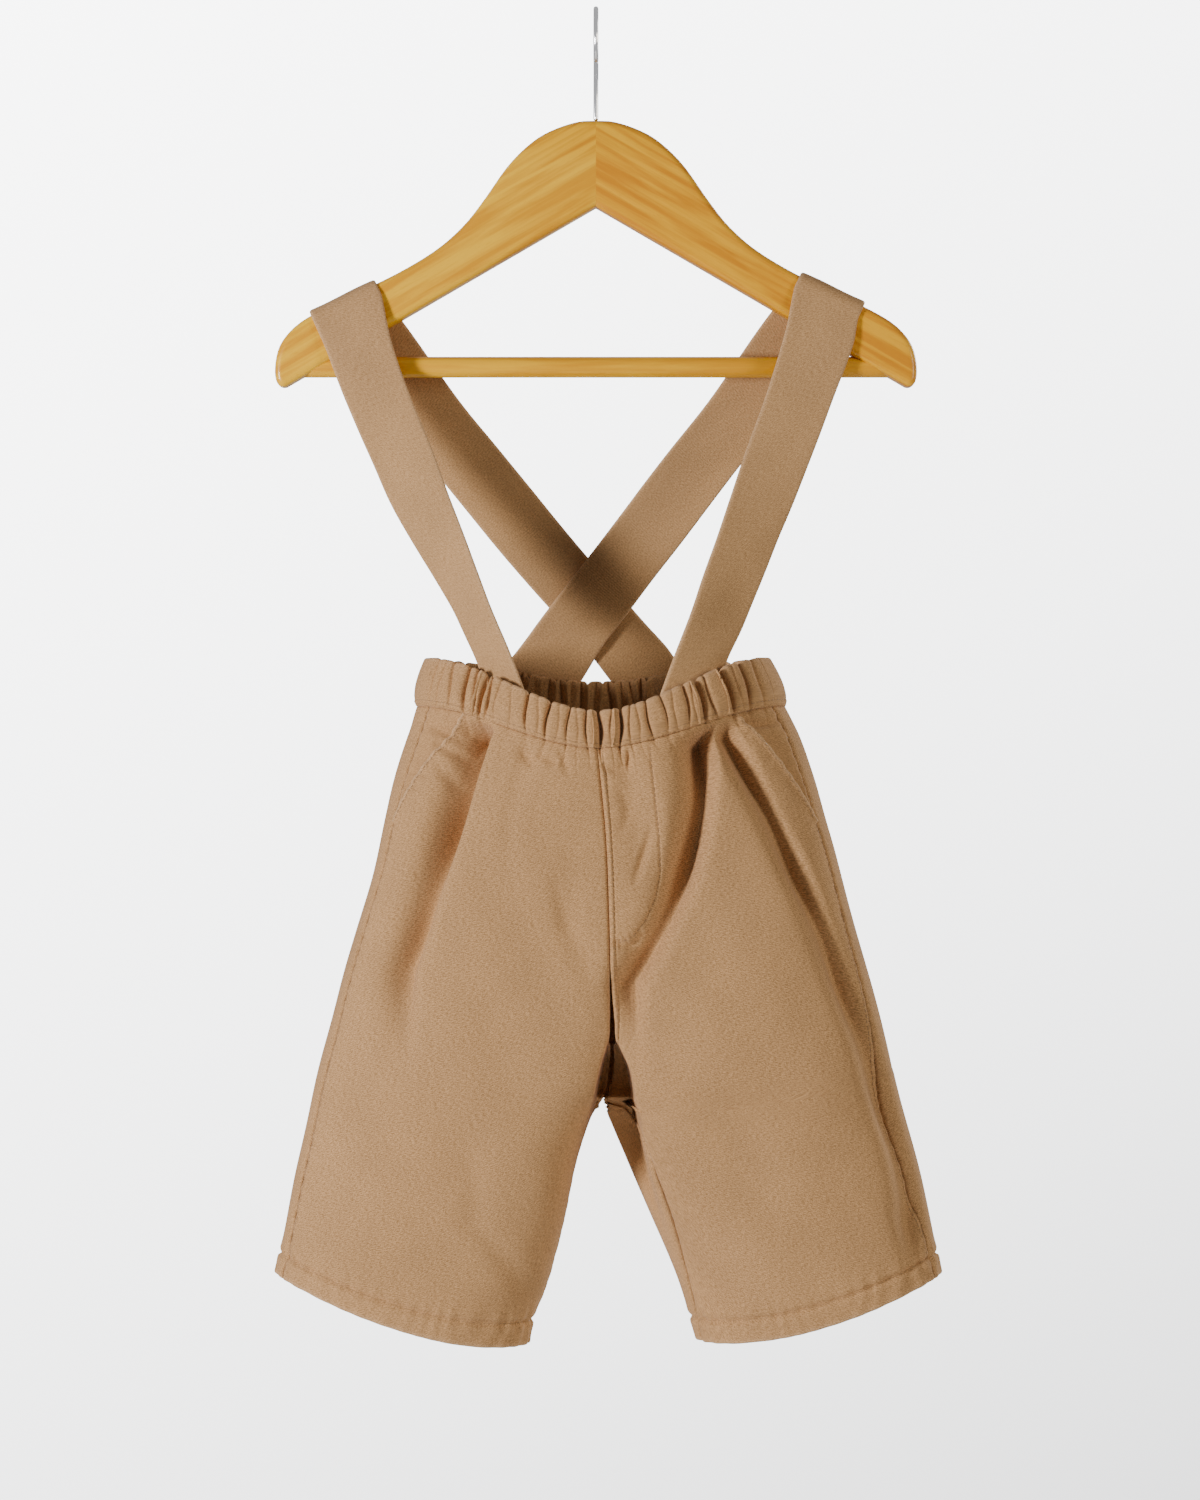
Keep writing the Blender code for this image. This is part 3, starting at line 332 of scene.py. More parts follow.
# %% Creases
Crease = namedtuple("Crease", "face x1 z1 x2 z2 x3 z3 width depth")
CREASES = (
    Crease("front", -79.0, -333.0, -72.0, -337.0, -64.0, -341.0, 2.6, 2.4),
    Crease("front", -77.0, -342.0, -70.0, -345.0, -62.0, -350.0, 2.4, 2.0),
    Crease("front", -76.0, -352.0, -71.0, -357.0, -67.0, -364.0, 3.0, 1.6),
    Crease("front", -36.0, -345.0, -31.0, -350.0, -28.0, -354.0, 2.2, 1.6),
    Crease("front", -28.0, -347.0, -22.0, -350.0, -17.0, -352.0, 2.0, 1.4),
    Crease("front", -17.0, -346.0, -14.0, -352.0, -13.0, -358.0, 2.0, 1.2),
    Crease("front", 3.5, -351.5, 9.0, -355.0, 15.5, -351.5, 2.0, 1.3),
    Crease("front", 14.6, -345.0, 15.0, -350.0, 14.6, -356.0, 1.0, 1.7),
    Crease("front", 9.0, -362.0, 14.5, -374.0, 10.0, -386.0, 2.6, 1.0),
    Crease("front", 26.0, -380.0, 21.5, -395.0, 17.0, -408.0, 1.8, 1.6),
    Crease("front", 5.5, -431.0, 16.0, -435.5, 21.0, -427.0, 1.8, 2.0),
    Crease("front", 5.0, -421.0, 12.0, -419.5, 17.0, -415.0, 3.0, 0.6),
    Crease("front", -19.0, -402.0, -16.0, -418.0, -11.0, -432.0, 3.0, 0.7),
    Crease("front", 67.0, -332.0, 78.0, -333.5, 87.0, -331.5, 1.6, 2.2),
    Crease("front", 78.0, -338.0, 84.0, -343.0, 92.0, -350.0, 3.0, 1.0),
    Crease("front", -100.0, -420.0, -96.0, -450.0, -98.0, -480.0, 9.0, 0.7),
    Crease("front", 74.0, -352.0, 86.0, -372.0, 98.0, -392.0, 5.0, 0.9),
    Crease("front", -86.0, -500.0, -70.0, -520.0, -60.0, -545.0, 12.0, 0.8),
    Crease("front", 60.0, -500.0, 74.0, -540.0, 80.0, -575.0, 13.0, 0.9),
    Crease("front", 30.0, -360.0, 33.0, -390.0, 31.0, -420.0, 4.0, -1.1),
    Crease("back", -30.0, -345.0, -34.0, -366.0, -42.0, -388.0, 4.5, 1.2),
    Crease("back", 42.0, -345.0, 45.0, -362.0, 52.0, -384.0, 4.5, 1.1),
    Crease("back", -8.0, -350.0, -9.0, -366.0, -14.0, -384.0, 4.0, 1.0),
    Crease("back", -100.0, -540.0, -84.0, -560.0, -70.0, -590.0, 10.0, 1.0),
    Crease("back", 118.0, -540.0, 104.0, -564.0, 96.0, -596.0, 10.0, 1.0),
    Crease("back", 20.0, -486.0, 44.0, -506.0, 70.0, -520.0, 6.0, 1.2),
    Crease("back", -16.0, -486.0, -38.0, -504.0, -62.0, -514.0, 6.0, 1.1),
)
CREASE_STEPS = 9
CREASE_BLUNTNESS = 0.7


def near_route(points, route):
    """How far points are from a route of x and z places, and the share of the way along it."""
    x, z = points[..., 0], points[..., 2]
    route = np.array(route, float)
    nearest = np.full(x.shape, 1e6)
    share = np.zeros(x.shape)
    for i, (a, b) in enumerate(zip(route, route[1:])):
        way = b - a
        t = np.clip(((x - a[0]) * way[0] + (z - a[1]) * way[1]) / (way @ way), 0.0, 1.0)
        gap = np.hypot(x - a[0] - t * way[0], z - a[1] - t * way[1])
        share = np.where(gap < nearest, (i + t) / (len(route) - 1), share)
        nearest = np.minimum(gap, nearest)
    return nearest, share


def crease_push(points, front):
    """Small creases on bent lines through three places, dying out at both ends."""
    pushed = np.zeros(points.shape[:-1])
    t = np.linspace(0.0, 1.0, CREASE_STEPS)
    for crease in CREASES:
        on_face = front if crease.face == "front" else ~front
        weights = ((1 - t) * (1 - 2 * t), 4 * t * (1 - t), t * (2 * t - 1))
        x = sum(w * v for w, v in zip(weights, (crease.x1, crease.x2, crease.x3)))
        z = sum(w * v for w, v in zip(weights, (crease.z1, crease.z2, crease.z3)))
        gap, share = near_route(points, np.stack([x, z], axis=-1))
        pushed += on_face * crease.depth * bump(gap, crease.width) * np.sin(pi * share) ** CREASE_BLUNTNESS
    return pushed


print(len(CREASES), "creases")

# %% [markdown]
# Under the fly the two legs part. Their front edges stand apart in a narrow notch, and between them
# the cloth drops back to the crotch, where four seams meet.

# %% The notch at the crotch
Notch = namedtuple("Notch", "z left right y")
NOTCH = (
    Notch(-583.0, -19.0, 38.0, 12.0), Notch(-547.0, -11.5, 27.7, 14.0),
    Notch(-523.0, -5.2, 22.0, 9.0), Notch(-511.0, -2.6, 19.7, 3.0), Notch(-494.0, 1.0, 16.6, 5.0),
    Notch(-485.0, 3.6, 12.6, -4.0), Notch(-477.0, 6.0, 8.8, -30.0),
)
NOTCH_WALL = 3.0
NOTCH_TOP_FADE = 6.0
NOTCH_FOOT_Z = -523.0
NOTCH_FOOT_FADE = 60.0
CROSS_SEAM_Z = -508.5
CROSS_SEAM_DEPTH = 6.0
CROSS_SEAM_WIDTH = 1.8


def sink_notch(leg, points, front):
    """Moves front points between the edges of the notch back to its floor."""
    x, y, z = (points[..., i] for i in range(3))
    left, right, floor = (along(NOTCH, field, z) for field in ("left", "right", "y"))
    beyond = x - left if leg is LEFT else right - x
    below_top = smooth_step((NOTCH[-1].z - z) / NOTCH_TOP_FADE)
    below_foot = smooth_step((NOTCH_FOOT_Z - z) / NOTCH_FOOT_FADE)
    share = below_top * (1 - below_foot) * smooth_step(beyond / NOTCH_WALL) * front
    floor = floor - CROSS_SEAM_DEPTH * bump(z - CROSS_SEAM_Z, CROSS_SEAM_WIDTH)
    points[..., 1] = mix(y, np.maximum(y, floor), share)


print("the notch reaches from", NOTCH[-1].z, "down to", NOTCH[0].z, "mm")

# %% [markdown]
# ## A gathered waist
#
# Elastic draws the waistband in, so its casing stands in soft puffs between sharp little creases,
# and a crease may run on a short way into the panel below the seam. Real gathers are uneven: here
# and there two lie close together, or one is twice as deep as the next. At the front they are a
# table by how far each lies to the side. At the back a formula sets them. Each leans a little, one
# way or the other, and is deepest at a height of its own.

# %% Gathers
Gather = namedtuple("Gather", "x depth width")
FRONT_GATHERS = (
    Gather(-76.5, 1.3, 1.6), Gather(-72.8, 1.1, 1.6), Gather(-68.3, 2.1, 1.8), Gather(-61.4, 4.4, 1.9),
    Gather(-56.8, 2.4, 1.5), Gather(-53.4, 6.4, 2.0), Gather(-50.4, 3.0, 1.5), Gather(-46.3, 1.0, 1.6),
    Gather(-39.8, 0.8, 1.8), Gather(-32.5, 2.7, 1.8), Gather(-27.0, 1.0, 1.6), Gather(-22.9, 3.7, 1.8),
    Gather(-17.8, 0.7, 1.6), Gather(-13.3, 2.1, 1.7), Gather(-8.7, 0.7, 1.5), Gather(-4.5, 2.4, 1.7),
    Gather(1.9, 6.4, 2.1), Gather(7.4, 1.0, 1.4), Gather(12.0, 6.4, 1.7), Gather(16.5, 1.3, 1.5),
    Gather(20.7, 0.9, 1.5), Gather(25.3, 2.7, 1.8), Gather(33.0, 1.8, 1.8), Gather(37.6, 0.7, 1.5),
    Gather(43.6, 2.7, 1.8), Gather(46.8, 1.0, 1.4), Gather(50.7, 6.4, 2.0), Gather(54.6, 2.7, 1.6),
    Gather(63.8, 6.4, 2.0), Gather(67.9, 1.3, 1.5), Gather(72.2, 4.4, 1.9), Gather(78.0, 1.5, 1.7),
)
BACK_GATHER_COUNT = 26
BACK_GATHER_SPAN = 80.0


def back_gathers():
    rows = []
    for i in range(BACK_GATHER_COUNT):
        x = mix(-BACK_GATHER_SPAN, BACK_GATHER_SPAN, (i + 0.5) / BACK_GATHER_COUNT)
        depth = 2.9 + 1.5 * np.sin(3.7 * i + 1.0) + 0.6 * np.sin(8.3 * i)
        rows.append(Gather(x + 1.5 * np.sin(5.1 * i), depth, 1.8 + 0.3 * np.sin(2.3 * i)))
    return tuple(rows)


GATHERS = {"front": FRONT_GATHERS, "back": back_gathers()}
GATHER_LEAN = 1.5
GATHER_SHARPNESS = 0.32
SOFT_DEPTH = 1.1
SHARP_DEPTH = 1.5
SHARP_PART = 0.6
BAND_HEIGHT = 21.0
PANEL_SHARE = 0.45
GATHER_REACH = 38.0
MEASURING_STEPS = 240


def waist_table(leg, face):
    """Turns along the waist seam of a leg, with the distance and the x of each."""
    end = 2.0 if face == "front" else -2.0
    turns = np.linspace(end, SIDE_SEAM_TURN, MEASURING_STEPS)
    points = smooth_points(leg, turns, 0.0)
    return turns, lengths_along(points), points[:, 0]


def waist_distance(leg, face, turn):
    """The signed distance along the waist seam from the middle, at a turn."""
    turns, distances, _ = waist_table(leg, face)
    order = np.argsort(turns)
    return leg.sign * np.interp(turn, turns[order], distances[order])


def gather_places(face):
    """The distance along the waist seam of each gather."""
    places = []
    for gather in GATHERS[face]:
        leg = LEFT if gather.x < 0 else RIGHT
        _, distances, xs = waist_table(leg, face)
        places.append(leg.sign * np.interp(abs(gather.x), abs(xs), distances))
    return places


PLACES = {face: gather_places(face) for face in GATHERS}


def gather_depth(face, distance, height):
    """How deep the gathers are at a distance along the waist seam. The height is 1 at the band's
    top, 0 at its seam, and below 0 in the panel, where it is in waistband heights."""
    total = np.zeros(np.broadcast(distance, height).shape)
    for i, (gather, place) in enumerate(zip(GATHERS[face], PLACES[face])):
        lean = GATHER_LEAN * np.sin(7.3 * i + 2.0)
        wave = 0.5 * np.sin(5.0 * height + 3.1 * i)
        off = distance - place - lean * (height - 0.5) - wave
        sharp = bump(off, gather.width * GATHER_SHARPNESS)
        soft = bump(off, gather.width)
        deepest = 0.5 + 0.35 * np.sin(2.9 * i + 1.0)
        reach = 0.45 + 0.3 * np.sin(4.1 * i + 0.5)
        inside = 1.0 - 0.45 * abs(np.clip(height, 0.0, 1.0) - deepest)
        fade = inside * np.exp(-np.maximum(-height, 0.0) / reach)
        total += gather.depth * fade * mix(SOFT_DEPTH * soft, SHARP_DEPTH * sharp, SHARP_PART)
    return total


print(len(FRONT_GATHERS), "gathers in front,", BACK_GATHER_COUNT, "behind")

# %% [markdown]
# ## From points to cloth
#
# Every piece of cloth starts as a flat grid. Its points are laid on the surface that the functions give,
# and a Solidify modifier gives it the thickness of the twill. The UV map holds real metres along and
# across the piece, so that the weave keeps its scale and follows the cloth. A second attribute, wear, says
# where the cloth is rubbed paler: on hems and folded edges.

# %% Meshes from grids
WELD = 0.02
SHARP_ANGLE = radians(40)

shorts = bpy.data.collections.new("shorts_on_hanger")
bpy.context.scene.collection.children.link(shorts)


def steps_between(points, axis):
    """Distances between neighbouring points, summed along the axis from its start."""
    gaps = np.linalg.norm(np.diff(points, axis=axis), axis=-1)
    start = np.zeros_like(np.take(gaps, [0], axis=axis))
    return np.concatenate([start, np.cumsum(gaps, axis=axis)], axis=axis)


def surface_normals(points):
    """Normals of a grid of points, turned to the side that rows crossed with columns give."""
    across = np.gradient(points, axis=1)
    down = np.gradient(points, axis=0)
    return unit(np.cross(across, down) + 1e-12)


def place_object(name, mesh):
    obj = bpy.data.objects.new(name, mesh)
    shorts.objects.link(obj)
    return obj


def place_solid(name, bm, sharp_angle=SHARP_ANGLE):
    """A smooth object from a bmesh, with sharp edges past an angle, if one is given."""
    mesh = bpy.data.meshes.new(name)
    bm.to_mesh(mesh)
    bm.free()
    mesh.shade_smooth()
    if sharp_angle:
        mesh.set_sharp_from_angle(angle=sharp_angle)
    return place_object(name, mesh)


def lay_grid(name, points, uv, wear, ring=False):
    """A mesh from a grid of points in millimetres. A ring closes its first column on its last."""
    rows, columns = points.shape[:2]
    bm = bmesh.new()
    bmesh.ops.create_grid(bm, x_segments=columns - 1, y_segments=rows - 1, size=0.5)
    mesh = bpy.data.meshes.new(name)
    bm.to_mesh(mesh)
    spots = np.empty(len(mesh.vertices) * 3)
    mesh.vertices.foreach_get("co", spots)
    spots = spots.reshape(-1, 3)
    column = np.rint((spots[:, 0] + 0.5) * (columns - 1)).astype(int)
    row = np.rint((spots[:, 1] + 0.5) * (rows - 1)).astype(int)
    mesh.vertices.foreach_set("co", (points[row, column] * MM).ravel())
    corners = np.empty(len(mesh.loops), int)
    mesh.loops.foreach_get("vertex_index", corners)
    layer = mesh.uv_layers.new(name="cloth")
    layer.data.foreach_set("uv", (uv[row, column][corners] * MM).ravel())
    attribute = mesh.attributes.new("wear", "FLOAT", "POINT")
    attribute.data.foreach_set("value", wear[row, column].astype(np.float32))
    mesh.update()
    bm.free()
    if ring:
        close_ring(mesh)
    mesh.shade_smooth()
    return place_object(name, mesh)


def close_ring(mesh):
    """Joins the first and last columns, closes both ends and turns the faces out."""
    bm = bmesh.new()
    bm.from_mesh(mesh)
    bmesh.ops.remove_doubles(bm, verts=bm.verts, dist=WELD * MM)
    open_edges = [edge for edge in bm.edges if edge.is_boundary]
    bmesh.ops.holes_fill(bm, edges=open_edges, sides=0)
    if bm.calc_volume(signed=True) < 0:
        bmesh.ops.reverse_faces(bm, faces=bm.faces)
    bm.to_mesh(mesh)
    bm.free()


def thicken(obj, thickness):
    solidify = obj.modifiers.new("cloth thickness", "SOLIDIFY")
    solidify.thickness = thickness * MM
    solidify.offset = -1.0
    solidify.use_even_offset = False


def face_out(obj, points, ways_out):
    """Turns the faces of an open sheet so that they look out of the garment."""
    row, column = np.array(points.shape[:2]) // 2
    centre = Vector(points[row, column] * MM)
    nearest = min(obj.data.polygons, key=lambda face: (face.center - centre).length)
    if nearest.normal.dot(Vector(ways_out[row, column])) < 0:
        obj.data.flip_normals()


# %% [markdown]
# ## Twill
#
# Cotton twill shows a fine diagonal rib. Its yarns differ a little in shade, which gives the cloth
# a soft, mixed look from a step away. One node group makes the rib, the yarns and the mottling from
# the UV map, which is in metres, and gives out a colour, a height and a roughness. Panels, bands and
# straps use the same group with their own values. The shader itself stays in each material.

# %% Node helpers
def feed(tree, socket, value):
    """Links a socket to another node's output, or sets it to a plain value."""
    if isinstance(value, bpy.types.NodeSocket):
        tree.links.new(value, socket)
    else:
        socket.default_value = value


def set_inputs(tree, node, **inputs):
    """Feeds some inputs of a node. An underscore stands for a space in an input's name."""
    for name, value in inputs.items():
        feed(tree, node.inputs[name.replace("_", " ")], value)


def add_node(tree, kind, **inputs):
    node = tree.nodes.new(kind)
    set_inputs(tree, node, **inputs)
    return node


def add_math(tree, operation, a, b):
    node = tree.nodes.new("ShaderNodeMath")
    node.operation = operation
    for socket, value in zip(node.inputs, (a, b)):
        feed(tree, socket, value)
    return node.outputs[0]


def mix_colors(tree, share, a, b):
    node = tree.nodes.new("ShaderNodeMix")
    node.data_type = "RGBA"
    for name, value in (("Factor_Float", share), ("A_Color", a), ("B_Color", b)):
        feed(tree, next(s for s in node.inputs if s.identifier == name), value)
    return next(s for s in node.outputs if s.identifier == "Result_Color")


def map_range(tree, value, low=0.0, high=1.0, to_low=0.0, to_high=1.0):
    """A value carried from one range over to another."""
    node = add_node(tree, "ShaderNodeMapRange", Value=value, From_Min=low, From_Max=high,
                    To_Min=to_low, To_Max=to_high)
    return node.outputs[0]


def stretched_noise(tree, space, scale, **inputs):
    """Noise in a space that is scaled by another amount on each axis."""
    stretched = add_node(tree, "ShaderNodeMapping", Vector=space, Scale=scale)
    noise = add_node(tree, "ShaderNodeTexNoise", Vector=stretched.outputs[0], Scale=1.0, **inputs)
    return noise.outputs["Fac"]


def new_material(name, **inputs):
    """A material, its node tree and its shader, with some of the shader's inputs set."""
    material = bpy.data.materials.new(name)
    material.use_nodes = True
    tree = material.node_tree
    shader = tree.nodes["Principled BSDF"]
    set_inputs(tree, shader, **inputs)
    return material, tree, shader


def add_group(tree, group):
    node = tree.nodes.new("ShaderNodeGroup")
    node.node_tree = group
    return node


def dress_shader(tree, shader, effect, strength, relief):
    """Gives a shader the colour, the roughness and the relief of an effect."""
    raised = add_node(tree, "ShaderNodeBump", Height=effect.outputs["Height"], Strength=strength,
                      Distance=relief * MM)
    set_inputs(tree, shader, Base_Color=effect.outputs["Color"],
               Roughness=effect.outputs["Roughness"], Normal=raised.outputs[0])


def new_group(name, inputs, outputs):
    """A shader node group with named sockets, and its two end nodes."""
    group = bpy.data.node_groups.new(name, "ShaderNodeTree")
    for label, kind, value in inputs:
        socket = group.interface.new_socket(name=label, in_out="INPUT", socket_type=kind)
        if value is not None:
            socket.default_value = value
    for label, kind in outputs:
        group.interface.new_socket(name=label, in_out="OUTPUT", socket_type=kind)
    start = group.nodes.new("NodeGroupInput")
    end = group.nodes.new("NodeGroupOutput")
    return group, start, end


COLOR = "NodeSocketColor"
FLOAT = "NodeSocketFloat"
VECTOR = "NodeSocketVector"

# %% [markdown]
# A streak lies along the rib and a fleck is one yarn on top of the next. Clouds are wide patches a
# little paler or darker, and show at arm's length. Sizes are in millimetres.

# %% The twill group
RIB_PITCH = 0.95
RIB_ANGLE = radians(56.0)
WAVE_PERIOD = 2 * pi / 20
STREAK_SIZE = (0.42, 1.7)
FLECK_SIZE = (0.6, 0.5)
CLOUD_SIZE = (26.0, 34.0)
STREAK_PART = 0.55
FLECK_PART = 0.45
YARN_PART = 0.84
CLOUD_TONES = (0.93, 1.06)
RIB_RELIEF = 0.6
YARN_RELIEF = 0.8


def per_size(size):
    """The scale at which noise has spots of a size in millimetres."""
    return (1 / (size[0] * MM), 1 / (size[1] * MM), 1.0)


def make_twill_group():
    """Fine diagonal ribs, mixed yarns and soft mottling on a UV map in metres."""
    tree, start, end = new_group(
        "twill weave",
        [("UV", VECTOR, None), ("Light yarn", COLOR, (0.5, 0.33, 0.2, 1)),
         ("Dark yarn", COLOR, (0.36, 0.22, 0.12, 1)), ("Worn", COLOR, (0.62, 0.46, 0.33, 1)),
         ("Wear", FLOAT, 0.0), ("Rib contrast", FLOAT, 0.35)],
        [("Color", COLOR), ("Height", FLOAT), ("Roughness", FLOAT)],
    )
    flat = start.outputs["UV"]
    turned = add_node(tree, "ShaderNodeMapping", Vector=flat, Rotation=(0.0, 0.0, RIB_ANGLE))
    waves = add_node(tree, "ShaderNodeTexWave", Vector=turned.outputs[0],
                     Scale=WAVE_PERIOD / (RIB_PITCH * MM), Distortion=2.2, Detail=2.0,
                     Detail_Scale=1.4)
    rib = waves.outputs["Fac"]
    streaks = stretched_noise(tree, turned.outputs[0], per_size(STREAK_SIZE), Detail=3.0,
                              Roughness=0.65)
    flecks = stretched_noise(tree, flat, per_size(FLECK_SIZE), Detail=2.0, Roughness=0.7)
    clouds = stretched_noise(tree, flat, per_size(CLOUD_SIZE), Detail=4.0, Roughness=0.55)
    yarn = add_math(tree, "ADD", add_math(tree, "MULTIPLY", streaks, STREAK_PART),
                    add_math(tree, "MULTIPLY", flecks, FLECK_PART))
    spread = map_range(tree, yarn, 0.43, 0.57)
    ribbed = add_math(tree, "MULTIPLY", rib, start.outputs["Rib contrast"])
    shade = add_math(tree, "ADD", ribbed, add_math(tree, "MULTIPLY", spread, YARN_PART))
    base = mix_colors(tree, shade, start.outputs["Dark yarn"], start.outputs["Light yarn"])
    toned = add_node(tree, "ShaderNodeVectorMath", Vector=base)
    toned.operation = "SCALE"
    set_inputs(tree, toned, Scale=map_range(tree, clouds, 0.3, 0.7, *CLOUD_TONES))
    patchy = map_range(tree, flecks, 0.3, 0.62)
    rubbed = add_math(tree, "MULTIPLY", start.outputs["Wear"], patchy)
    worn = mix_colors(tree, rubbed, toned.outputs[0], start.outputs["Worn"])
    height = add_math(tree, "ADD", add_math(tree, "MULTIPLY", rib, RIB_RELIEF),
                      add_math(tree, "MULTIPLY", yarn, YARN_RELIEF))
    rough = map_range(tree, yarn, to_low=0.95, to_high=0.78)
    set_inputs(tree, end, Color=worn, Height=height, Roughness=rough)
    return tree


TWILL = make_twill_group()
WORN_YARN = (0.78, 0.52, 0.3)
RIB_CONTRAST = 0.18
WEAVE_STRENGTH = 0.5
WEAVE_RELIEF = 0.12


def cloth_material(name, light, dark):
    material, tree, shader = new_material(name, Sheen_Weight=0.12, Sheen_Roughness=0.5,
                                          Specular_IOR_Level=0.25)
    uv = tree.nodes.new("ShaderNodeUVMap")
    uv.uv_map = "cloth"
    wear = tree.nodes.new("ShaderNodeAttribute")
    wear.attribute_name = "wear"
    weave = add_group(tree, TWILL)
    set_inputs(tree, weave, UV=uv.outputs[0], Wear=wear.outputs["Fac"], Light_yarn=(*light, 1.0),
               Dark_yarn=(*dark, 1.0), Worn=(*WORN_YARN, 1.0), Rib_contrast=RIB_CONTRAST)
    dress_shader(tree, shader, weave, WEAVE_STRENGTH, WEAVE_RELIEF)
    return material


PANEL_TWILL = cloth_material("panel twill", (0.65, 0.37, 0.165), (0.31, 0.165, 0.062))
STRAP_TWILL = cloth_material("strap twill", (0.62, 0.365, 0.165), (0.36, 0.195, 0.078))
INSIDE_TWILL = cloth_material("twill under the pocket", (0.6, 0.34, 0.15), (0.34, 0.18, 0.07))
print("twill ribs are", RIB_PITCH, "mm apart")


def finish_piece(obj, material, slot, *nodes):
    """A finish and the solids that the piece stands for, if any. The slot is not used."""
    obj.data.materials.append(material)
    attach(obj, "root")
    if nodes:
        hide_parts(*nodes)


# %% [markdown]
# ## Seams, stitch lines and hems
#
# Sewing shapes cloth as much as gravity does. A seam draws both edges in to a crease. A stitch line
# presses a narrow groove, and thread that is a little too tight puckers the cloth beside it in short
# ripples. These are pushes too, measured from the edges of the panel along its own surface, so
# the arrays of distances are worked out on the smooth grid first.

# %% Pushes beside seams
SEAM_DEPTH = 0.95
SEAM_WIDTH = 0.75
DIP_DEPTH = 0.25
DIP_WIDTH = 2.2
GROOVE_DEPTH = 0.34
GROOVE_WIDTH = 0.6
Ripple = namedtuple("Ripple", "amount pitch reach")


def seam_crease(distance):
    return SEAM_DEPTH * bump(distance, SEAM_WIDTH) + DIP_DEPTH * bump(distance, DIP_WIDTH)


def stitch_groove(distance):
    return GROOVE_DEPTH * bump(distance, GROOVE_WIDTH)


def pucker(distance, lengthwise, ripple):
    """Ripples that run off a stitch line and die out, uneven in size and spacing."""
    phase = lengthwise / ripple.pitch
    phase = phase + 0.3 * np.sin(lengthwise / 11.0) + 0.2 * np.sin(lengthwise / 6.3)
    size = 0.78 + 0.22 * np.sin(lengthwise / (2.3 * ripple.pitch) + 1.3)
    return ripple.amount * size * np.sin(2 * pi * phase) * bump(distance, ripple.reach)


def wobble(points):
    """The faint unevenness of hanging cotton."""
    x, z = points[..., 0], points[..., 2]
    return (0.30 * np.sin(x / 17.0 + z / 29.0) + 0.22 * np.sin(x / 9.5 - z / 21.0 + 1.0)
            + 0.16 * np.sin(x / 6.1 + z / 11.0 + 2.0))


# %% [markdown]
# ## Leg panels
#
# A panel is cut from one layer. Its slanted top corner is the pocket edge, which is folded back and
# sewn down with two rows. At the foot the cloth is turned up inside by about 10 mm and sewn with
# one row. The grid follows that cut: its rows run down the leg, round the fold of the hem and a
# little way up again on the inside, and Solidify makes both layers.

# %% Rows and columns of a panel
POCKET_TURN = 0.5
POCKET_FALL = 0.2
LEG_LENGTH = SIDE_TOP_Z - SIDE_HEM_Z
HEM_HEIGHT = 10.0
HEM_FOLD_RADIUS = 1.1
CLOTH = 1.0
HEM_FOLD_STEPS = 7
HEM_INSIDE_STEPS = 6
SOFTENING_ROWS = 16
SOFTENED_FALLS = 0.07
SOFTENED_TURN = 1.55
SOFTENED_TURN_FADE = 0.4
WOBBLE_START = 12.0
TURNED_UP_LOSS = 0.35
HEM_WEAR = 0.5
HEM_WEAR_WIDTH = 1.4
EDGE_WEAR = 0.6
EDGE_WEAR_WIDTH = 1.0


def panel_rows(count):
    """Falls and insets of a panel's rows, with the hem's fold and the layer inside it."""
    radius = HEM_FOLD_RADIUS
    lowest = 1.0 - radius / LEG_LENGTH
    down = np.linspace(0.0, lowest, count)
    angle = np.linspace(0.0, pi, HEM_FOLD_STEPS + 1)[1:]
    fold = lowest + radius / LEG_LENGTH * np.sin(angle)
    up = np.linspace(lowest, 1.0 - HEM_HEIGHT / LEG_LENGTH, HEM_INSIDE_STEPS + 1)[1:]
    falls = np.concatenate([down, fold, up])
    insets = np.concatenate([0 * down, radius * (1 - np.cos(angle)), 2 * radius + 0 * up])
    return falls, insets


def pocket_edge_turn(fall):
    """The front panel's outer edge: the slanted pocket, then the side seam."""
    return mix(SIDE_SEAM_TURN, POCKET_TURN, np.maximum(1 - fall / POCKET_FALL, 0.0))


def inner_seam_turn(leg, fall):
    return np.where(fall > CROTCH_FALL, along(leg.seam_turn, "turn", fall), 2.0)


def wrap_turn(turn):
    """A turn past the inner line comes round onto the front."""
    return np.where(turn < -2.0, 4.0 + turn, turn)


def soften(points, turn, fall):
    """Evens out the kink that the crotch leaves in the front and back, but not the seam itself."""
    reach = SOFTENING_ROWS
    padded = np.concatenate([points[:1]] * reach + [points] + [points[-1:]] * reach)
    weights = bump(np.arange(-reach, reach + 1), reach / 2)
    rows = len(points)
    total = sum(w * padded[i:i + rows] for i, w in enumerate(weights)) / weights.sum()
    seamward = smooth_step((abs(turn) - SOFTENED_TURN) / SOFTENED_TURN_FADE)
    share = bump(fall - CROTCH_FALL, SOFTENED_FALLS) * (1 - seamward)
    return mix(points, total, share[..., None])


Sewn = namedtuple("Sewn", "points normals across from_end down")


